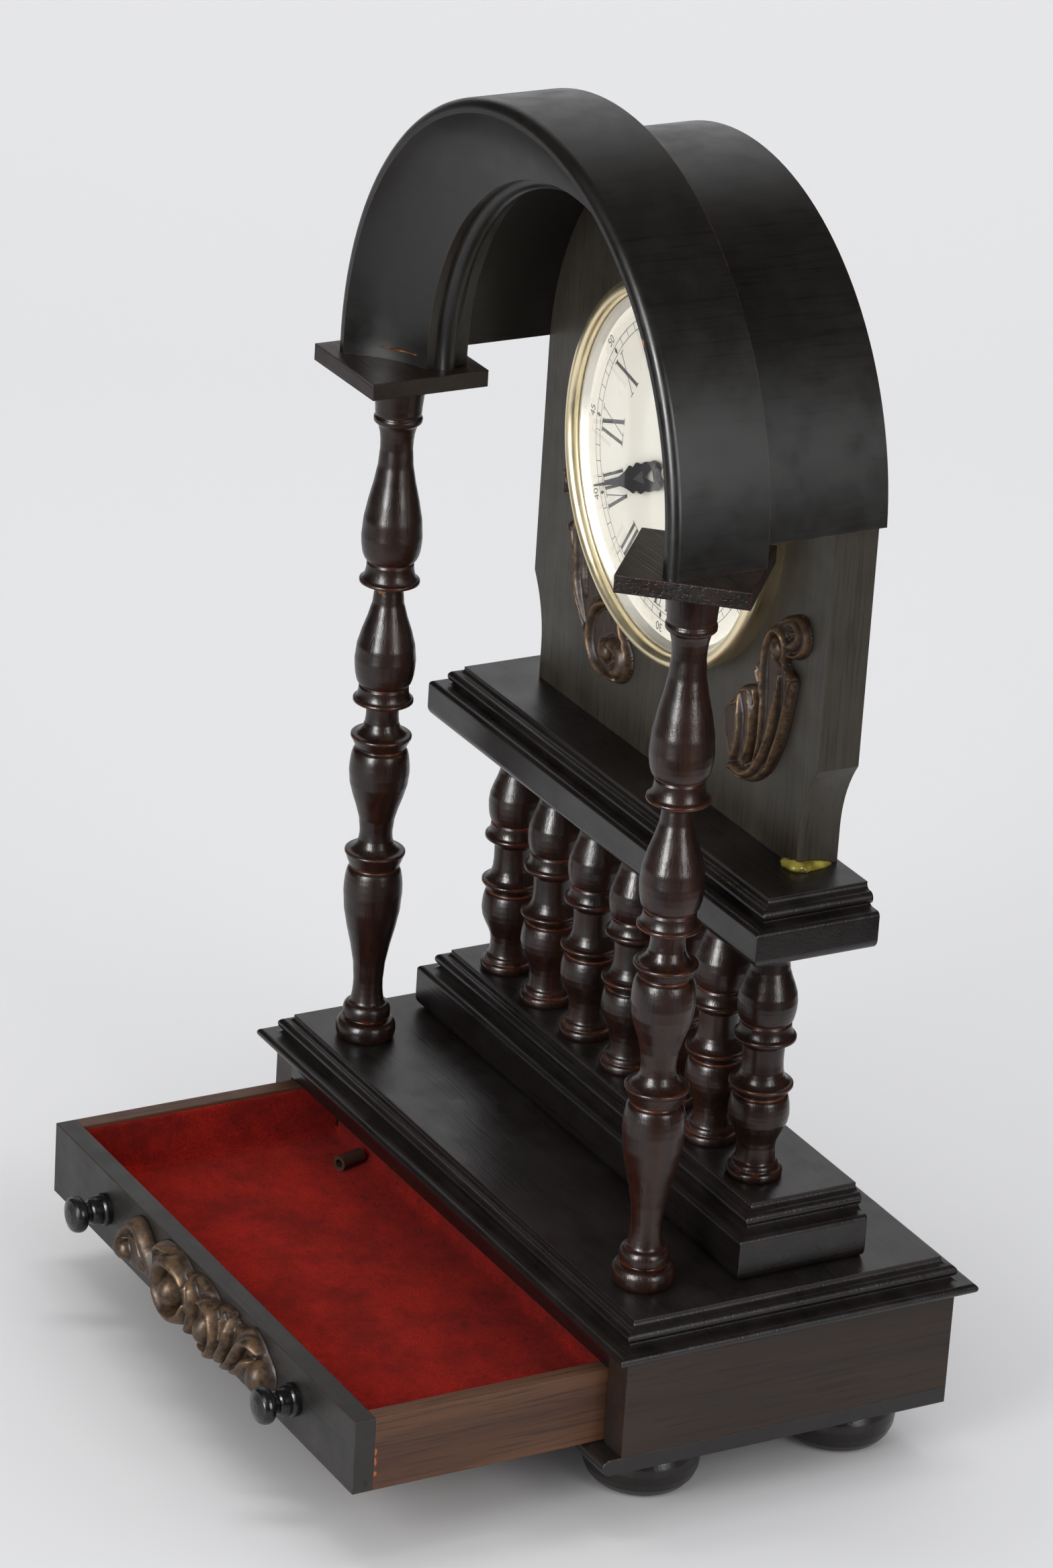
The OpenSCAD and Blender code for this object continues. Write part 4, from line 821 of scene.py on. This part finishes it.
LEFT_SCROLL = {
    "outline": [
        (12.2, 66.4), (9, 66.6), (5, 64.4), (0.8, 61.8), (0.2, 59.6), (1.4, 57.2), (1.7, 53.2), (2.6, 51.6),
        (6, 52.6), (7.8, 52.6), (9.4, 49), (9.8, 45.8), (5.3, 44.2), (5.8, 42), (8.4, 38), (9.6, 33),
        (10.6, 27), (11.9, 22), (14.6, 17.6), (17.8, 13.6), (20.4, 9.4), (22.9, 6.2), (26.5, 3.2), (31, 1.3),
        (36, 0.5), (41, 0.9), (45.2, 2.7), (48.4, 5.9), (49.6, 10), (48.8, 14), (46.5, 16.6), (44.4, 19.6),
        (43, 24), (42.6, 31), (28, 44), (19, 54)],
    "ridges": [
        (1.5, 4.4, [(36.5, 27.6), (33, 26.2), (29.8, 24.6), (26.9, 21.4), (25.2, 17), (24.8, 12.4), (25.8, 8.2),
                    (28.6, 4.8), (32.2, 3), (36.4, 2.2), (41, 2.6)]),
        (2.8, 4.6, [(40, 4.8), (44.4, 6.4), (46.2, 10), (44.6, 13), (40, 13.8), (36, 12.8)]),
        (1.4, 4.0, [(9.8, 62), (10.8, 54), (12.4, 45), (13.6, 36), (14.6, 28), (17.4, 21), (21, 15)]),
        (1.4, 3.8, [(3, 60.6), (6, 58.4), (8.4, 55)]),
        (1.3, 3.6, [(19, 50), (18, 42), (18.6, 33), (20.6, 25)]),
        (1.2, 3.4, [(7, 43.4), (9.6, 41), (11, 36)])],
    "bosses": [((35.4, 10.6), (3.2, 3.0), 0, 4.8)],
    "ground": 2.6, "roll": 1.0, "edge": 0.6, "round": 1.1, "top": 4.8, "fill": False,
}
CARVING = {
    "outline": [
        (-55.6, -5.5), (-53.4, -0.5), (-50, 4.2), (-45, 8.6), (-39.5, 10.6), (-34, 8.4), (-29.8, 5),
        (-26.6, 7.4), (-23, 11), (-17, 12.2), (-9, 12), (-3, 9.4), (1, 10.6), (7, 11.6), (13, 10.2),
        (17, 8.2), (20.5, 9.4), (27, 10.4), (31, 7.8), (35, 8.6), (40.5, 11.2), (46, 9.4), (51, 6), (55, 2.6),
        (55.9, -2), (53, -7), (48, -8.4), (43, -6.4), (39, -7.6), (33, -10), (27, -11.6), (20, -12.3),
        (15, -11.4), (10, -12.2), (4, -12.2), (0, -10.8), (-4, -11.6), (-10, -12.2), (-17, -11.4), (-22, -9.6),
        (-27, -8), (-33, -7.6), (-38, -8.6), (-45, -9.4), (-51, -9), (-55, -7.8)],
    "ridges": [
        (2.8, 5.4, [(-53, -4), (-49.6, 2), (-45, 6.6), (-40, 8), (-35.4, 6.2), (-31, 1.6), (-27.5, -4)]),
        (1.6, 4.6, [(-44, 2.4), (-40, 3.4), (-36.6, 1), (-34, -4)]),
        (2.4, 7.4, [(-3.2, 4.6), (-6.6, 7.4), (-11.4, 8.6), (-16.4, 7), (-19.4, 1.8), (-18.8, -4.2),
                    (-14.6, -8.4), (-9, -9.4), (-4.2, -6.8), (-2, -2)]),
        (1.5, 5.6, [(-27, 5.6), (-23.8, 8.8), (-19.6, 10.4), (-13, 11)]),
        (1.9, 6.4, [(0.4, 9), (3.6, 5.4), (4.4, -0.6), (3, -7), (0.8, -10)]),
        (1.3, 5.4, [(-1.4, 7), (0.4, 2), (0.2, -4)]),
        (1.8, 7.0, [(8, 4.4), (13.2, 6.4), (18.6, 4.6), (21, -1.4), (19.6, -7), (15.4, -10.2), (9.8, -9.6)]),
        (2.1, 6.2, [(28.4, 8.4), (28.8, 3), (26, -3.6), (21.4, -9.6)]),
        (1.3, 5.2, [(23.6, 7.6), (24.6, 3), (23.6, -2)]),
        (1.8, 6.4, [(24.8, -10), (30.4, -6.6), (34.6, -0.6), (38.6, 5), (43.2, 7.6), (48, 6.2)]),
        (1.6, 5.8, [(30.6, -9), (36.6, -5.2), (40.6, -0.6), (44.4, 1.6)])],
    "bosses": [((-48.4, -4.2), (4.2, 3.6), 0, 6.2), ((-10.4, -0.6), (4.2, 5.2), 8, 8.9),
               ((13.4, -2.6), (4.0, 5.4), -6, 8.2), ((50, -1), (4.8, 5.6), 10, 7.8)],
    "ground": 3.2, "roll": 0.5, "edge": 0.8, "round": 0.75, "top": 9.0, "fill": True,
}
dial_low, dial_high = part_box("bezel")
dial_centre = Vector(((dial_low.x + dial_high.x) / 2, dial_high.y, (dial_low.z + dial_high.z) / 2))
BEZEL_GAP = 0.7
bezel_reach = (dial_high.x - dial_low.x) * 500 + BEZEL_GAP
ornaments = [carve("scroll_right", RIGHT_SCROLL, "case"),
             carve("scroll_left", LEFT_SCROLL, "case", (dial_centre, bezel_reach)),
             carve("drawer_carving", CARVING, "drawer", step=0.3)]
print("ornaments:", [len(ornament.data.polygons) for ornament in ornaments], "faces")

# %% [markdown]
# Old repairs. Where the panel's foot and the arch's foot meet their boards, glue has squeezed out and set. Each
# bead is a tube swept along the joint, thick in the middle, and made lumpy with noise.


# %% Glue beads
def glue_bead(name, points, thick, material):
    line = through([(x, y) for x, y, z in points], steps=6)
    rise = through([(z, 0) for x, y, z in points], steps=6)[:, 0]
    count, around = len(line), 14
    vertices = []
    for i, ((x, y), z) in enumerate(zip(line, rise)):
        way = line[min(i + 1, count - 1)] - line[max(i - 1, 0)]
        side = Vector((way[1], -way[0], 0)).normalized()
        swell = math.sin(math.pi * (i + 0.35) / (count - 0.3)) ** 0.5
        for k in range(around):
            angle = math.tau * k / around
            bump = 1 + 0.45 * noise.noise((x * 0.5, y * 0.5 + k, z * 0.5))
            reach = thick * swell * bump
            lift = Vector((0, 0, 0.75 * reach * math.sin(angle)))
            vertices.append((Vector((x, y, z)) + side * reach * math.cos(angle) + lift) / 1000)
    bead = new_object(name, vertices, tube_faces(count, around), material, "case")
    with reshaping(bead.data) as shape:
        bmesh.ops.recalc_face_normals(shape, faces=shape.faces)


AT_PANEL = [(75, 10.6, 197), (80, 10.0, 197.3), (83.0, 11.2, 197.6), (83.4, 16, 197.3), (83, 23, 197)]
AT_ARCH = [(-96.5, -47.8, 313.3), (-93, -45.2, 313.4), (-89.1, -42.6, 313.4), (-84, -39.4, 313.2)]
glue_bead("glue_at_panel", AT_PANEL, 2.5, old_glue)
glue_bead("glue_at_arch", AT_ARCH, 0.5, orange_glue)

# %% [markdown]
# The dial's print: two thin circles joined by sixty ticks, Roman hours, and small figures for the minutes. What
# repeats, the ticks, is left to Geometry Nodes, where the count and the radius stay numbers that can be turned.
# The plate sits about three degrees off upright, as it does on the real clock.

# %% Print of the dial
PLATE_TURN = math.radians(-3)
PRINT_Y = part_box("dial_plate")[0].y - 0.00004


def on_plate(x, y):
    """A point of the print, in millimetres from the dial's centre, placed in the world."""
    c, s = math.cos(PLATE_TURN), math.sin(PLATE_TURN)
    return Vector((dial_centre.x + (c * x - s * y) / 1000, PRINT_Y, dial_centre.z + (s * x + c * y) / 1000))


def ring_of_ticks():
    tree = bpy.data.node_groups.new("ring_of_ticks", "GeometryNodeTree")
    for label, kind, value in (("Count", "NodeSocketInt", 60), ("Radius", FLOAT, 48.5), ("Length", FLOAT, 2.6),
                               ("Width", FLOAT, 0.26)):
        tree.interface.new_socket(label, in_out="INPUT", socket_type=kind).default_value = value
    tree.interface.new_socket("Mesh", in_out="OUTPUT", socket_type="NodeSocketGeometry")
    made = Tree(tree)
    given, result = made.add("NodeGroupInput").outputs, made.add("NodeGroupOutput")
    circle = made.add("GeometryNodeMeshCircle", {"Vertices": given["Count"], "Radius": given["Radius"]})
    tick = made.add("GeometryNodeMeshGrid", {"Size X": given["Length"], "Size Y": given["Width"],
                                             "Vertices X": 2, "Vertices Y": 2})
    share = made.math("DIVIDE", math.tau, given["Count"])
    angle = made.math("MULTIPLY", made.add("GeometryNodeInputIndex").outputs[0], share)
    turned = made.add("ShaderNodeCombineXYZ", {2: angle})
    spread_out = made.add("GeometryNodeInstanceOnPoints",
                          {"Points": circle, "Instance": tick, "Rotation": turned})
    real = made.add("GeometryNodeRealizeInstances", {0: spread_out})
    painted = made.add("GeometryNodeSetMaterial", {"Geometry": real, "Material": dial_ink})
    made.feed(result.inputs[0], painted)
    return tree


def run_nodes(tree):
    """The mesh that a Geometry Nodes tree makes with its own input values."""
    holder = linked("holder", bpy.data.meshes.new("holder"))
    holder.modifiers.new("nodes", "NODES").node_group = tree
    return evaluated_mesh(holder)


class Print:
    """Flat shapes gathered into one mesh."""

    def __init__(self):
        self.vertices, self.faces = [], []

    def shape(self, points):
        start = len(self.vertices)
        self.vertices += [on_plate(x, y) for x, y in points]
        self.faces.append(tuple(range(start, start + len(points))))

    def circle(self, radius, width, count=180):
        ring = [(math.cos(math.tau * i / count), math.sin(math.tau * i / count)) for i in range(count)]
        for a, b in zip(ring, ring[1:] + ring[:1]):
            corners = ((radius, a), (radius, b), (radius - width, b), (radius - width, a))
            self.shape([(reach * x, reach * y) for reach, (x, y) in corners])

    def mesh(self, mesh, radius, angle):
        """Copies a flat mesh with its middle at the given radius and clock angle."""
        start = len(self.vertices)
        c, s = math.cos(angle), math.sin(angle)
        for vertex in mesh.vertices:
            x, y = vertex.co.x, vertex.co.y + radius
            self.vertices.append(on_plate(c * x + s * y, -s * x + c * y))
        self.faces += [tuple(start + i for i in face.vertices) for face in mesh.polygons]


def stroke(a, b, width):
    """A straight stroke from a to b whose ends are cut level, as a numeral's are."""
    half = width / 2
    return [(a[0] - half, a[1]), (a[0] + half, a[1]), (b[0] + half, b[1]), (b[0] - half, b[1])]


def numeral(letters, height, tight):
    """Shapes of a Roman numeral, centred, with thick and thin strokes and short serifs."""
    widths = {"I": 2.5 * tight, "V": 7.2 * tight, "X": 7.4 * tight}
    total = sum(widths[letter] for letter in letters)
    x, shapes, h = -total / 2, [], height / 2
    for letter in letters:
        w = widths[letter]
        middle, thick_in, thin_in = x + w / 2, 1.3 * tight, 1.2 * tight
        if letter == "I":
            feet = [(middle, -h), (middle, h)]
            shapes.append(stroke(*feet, 1.25 * tight))
        else:
            tops = [(x + thick_in, h), (x + w - thin_in, h)]
            low_ends = [(middle, -h)] * 2 if letter == "V" else [(x + w - thick_in, -h), (x + thin_in, -h)]
            shapes += [stroke(low_ends[0], tops[0], 1.45 * tight), stroke(low_ends[1], tops[1], 0.36)]
            feet = tops if letter == "V" else tops + low_ends[::-1]
        for foot_x, foot_y in feet:
            reach, inner = 1.25 * tight, foot_y - math.copysign(0.32, foot_y)
            shapes.append([(foot_x - reach, foot_y), (foot_x + reach, foot_y),
                           (foot_x + reach, inner), (foot_x - reach, inner)])
        x += w
    return shapes


def figure_mesh(text, size):
    curve = bpy.data.curves.new("figure", "FONT")
    curve.body, curve.size, curve.align_x, curve.align_y = text, size, "CENTER", "CENTER"
    return evaluated_mesh(linked("figure", curve))


def make_print():
    ink = Print()
    ink.circle(49.9, 0.22)
    ink.circle(47.3, 0.22)
    ink.mesh(run_nodes(ring_of_ticks()), 0, 0)
    hours = ["XII", "I", "II", "III", "IIII", "V", "VI", "VII", "VIII", "IX", "X", "XI"]
    for hour, letters in enumerate(hours):
        angle = math.radians(30 * hour)
        c, s = math.cos(angle), math.sin(angle)
        tight = 0.82 if len(letters) > 3 else 1.0
        for points in numeral(letters, 13.4, tight):
            ink.shape([(c * x + s * (y + 39.4), -s * x + c * (y + 39.4)) for x, y in points])
        ink.mesh(figure_mesh(str(5 * hour if hour else 60), 4.0), 52.4, angle)
        diamond = ((47.2, 0), (48.5, 0.75), (49.9, 0), (48.5, -0.75))
        ink.shape([(s * r + c * w, c * r - s * w) for r, w in diamond])
    made = new_object("dial_print", ink.vertices, ink.faces, dial_ink, "case", smooth=False)
    with reshaping(made.data) as shape:
        for face in shape.faces:
            if face.normal.y > 0:
                face.normal_flip()
    return made


dial_print = make_print()
print("print:", len(dial_print.data.polygons), "faces")
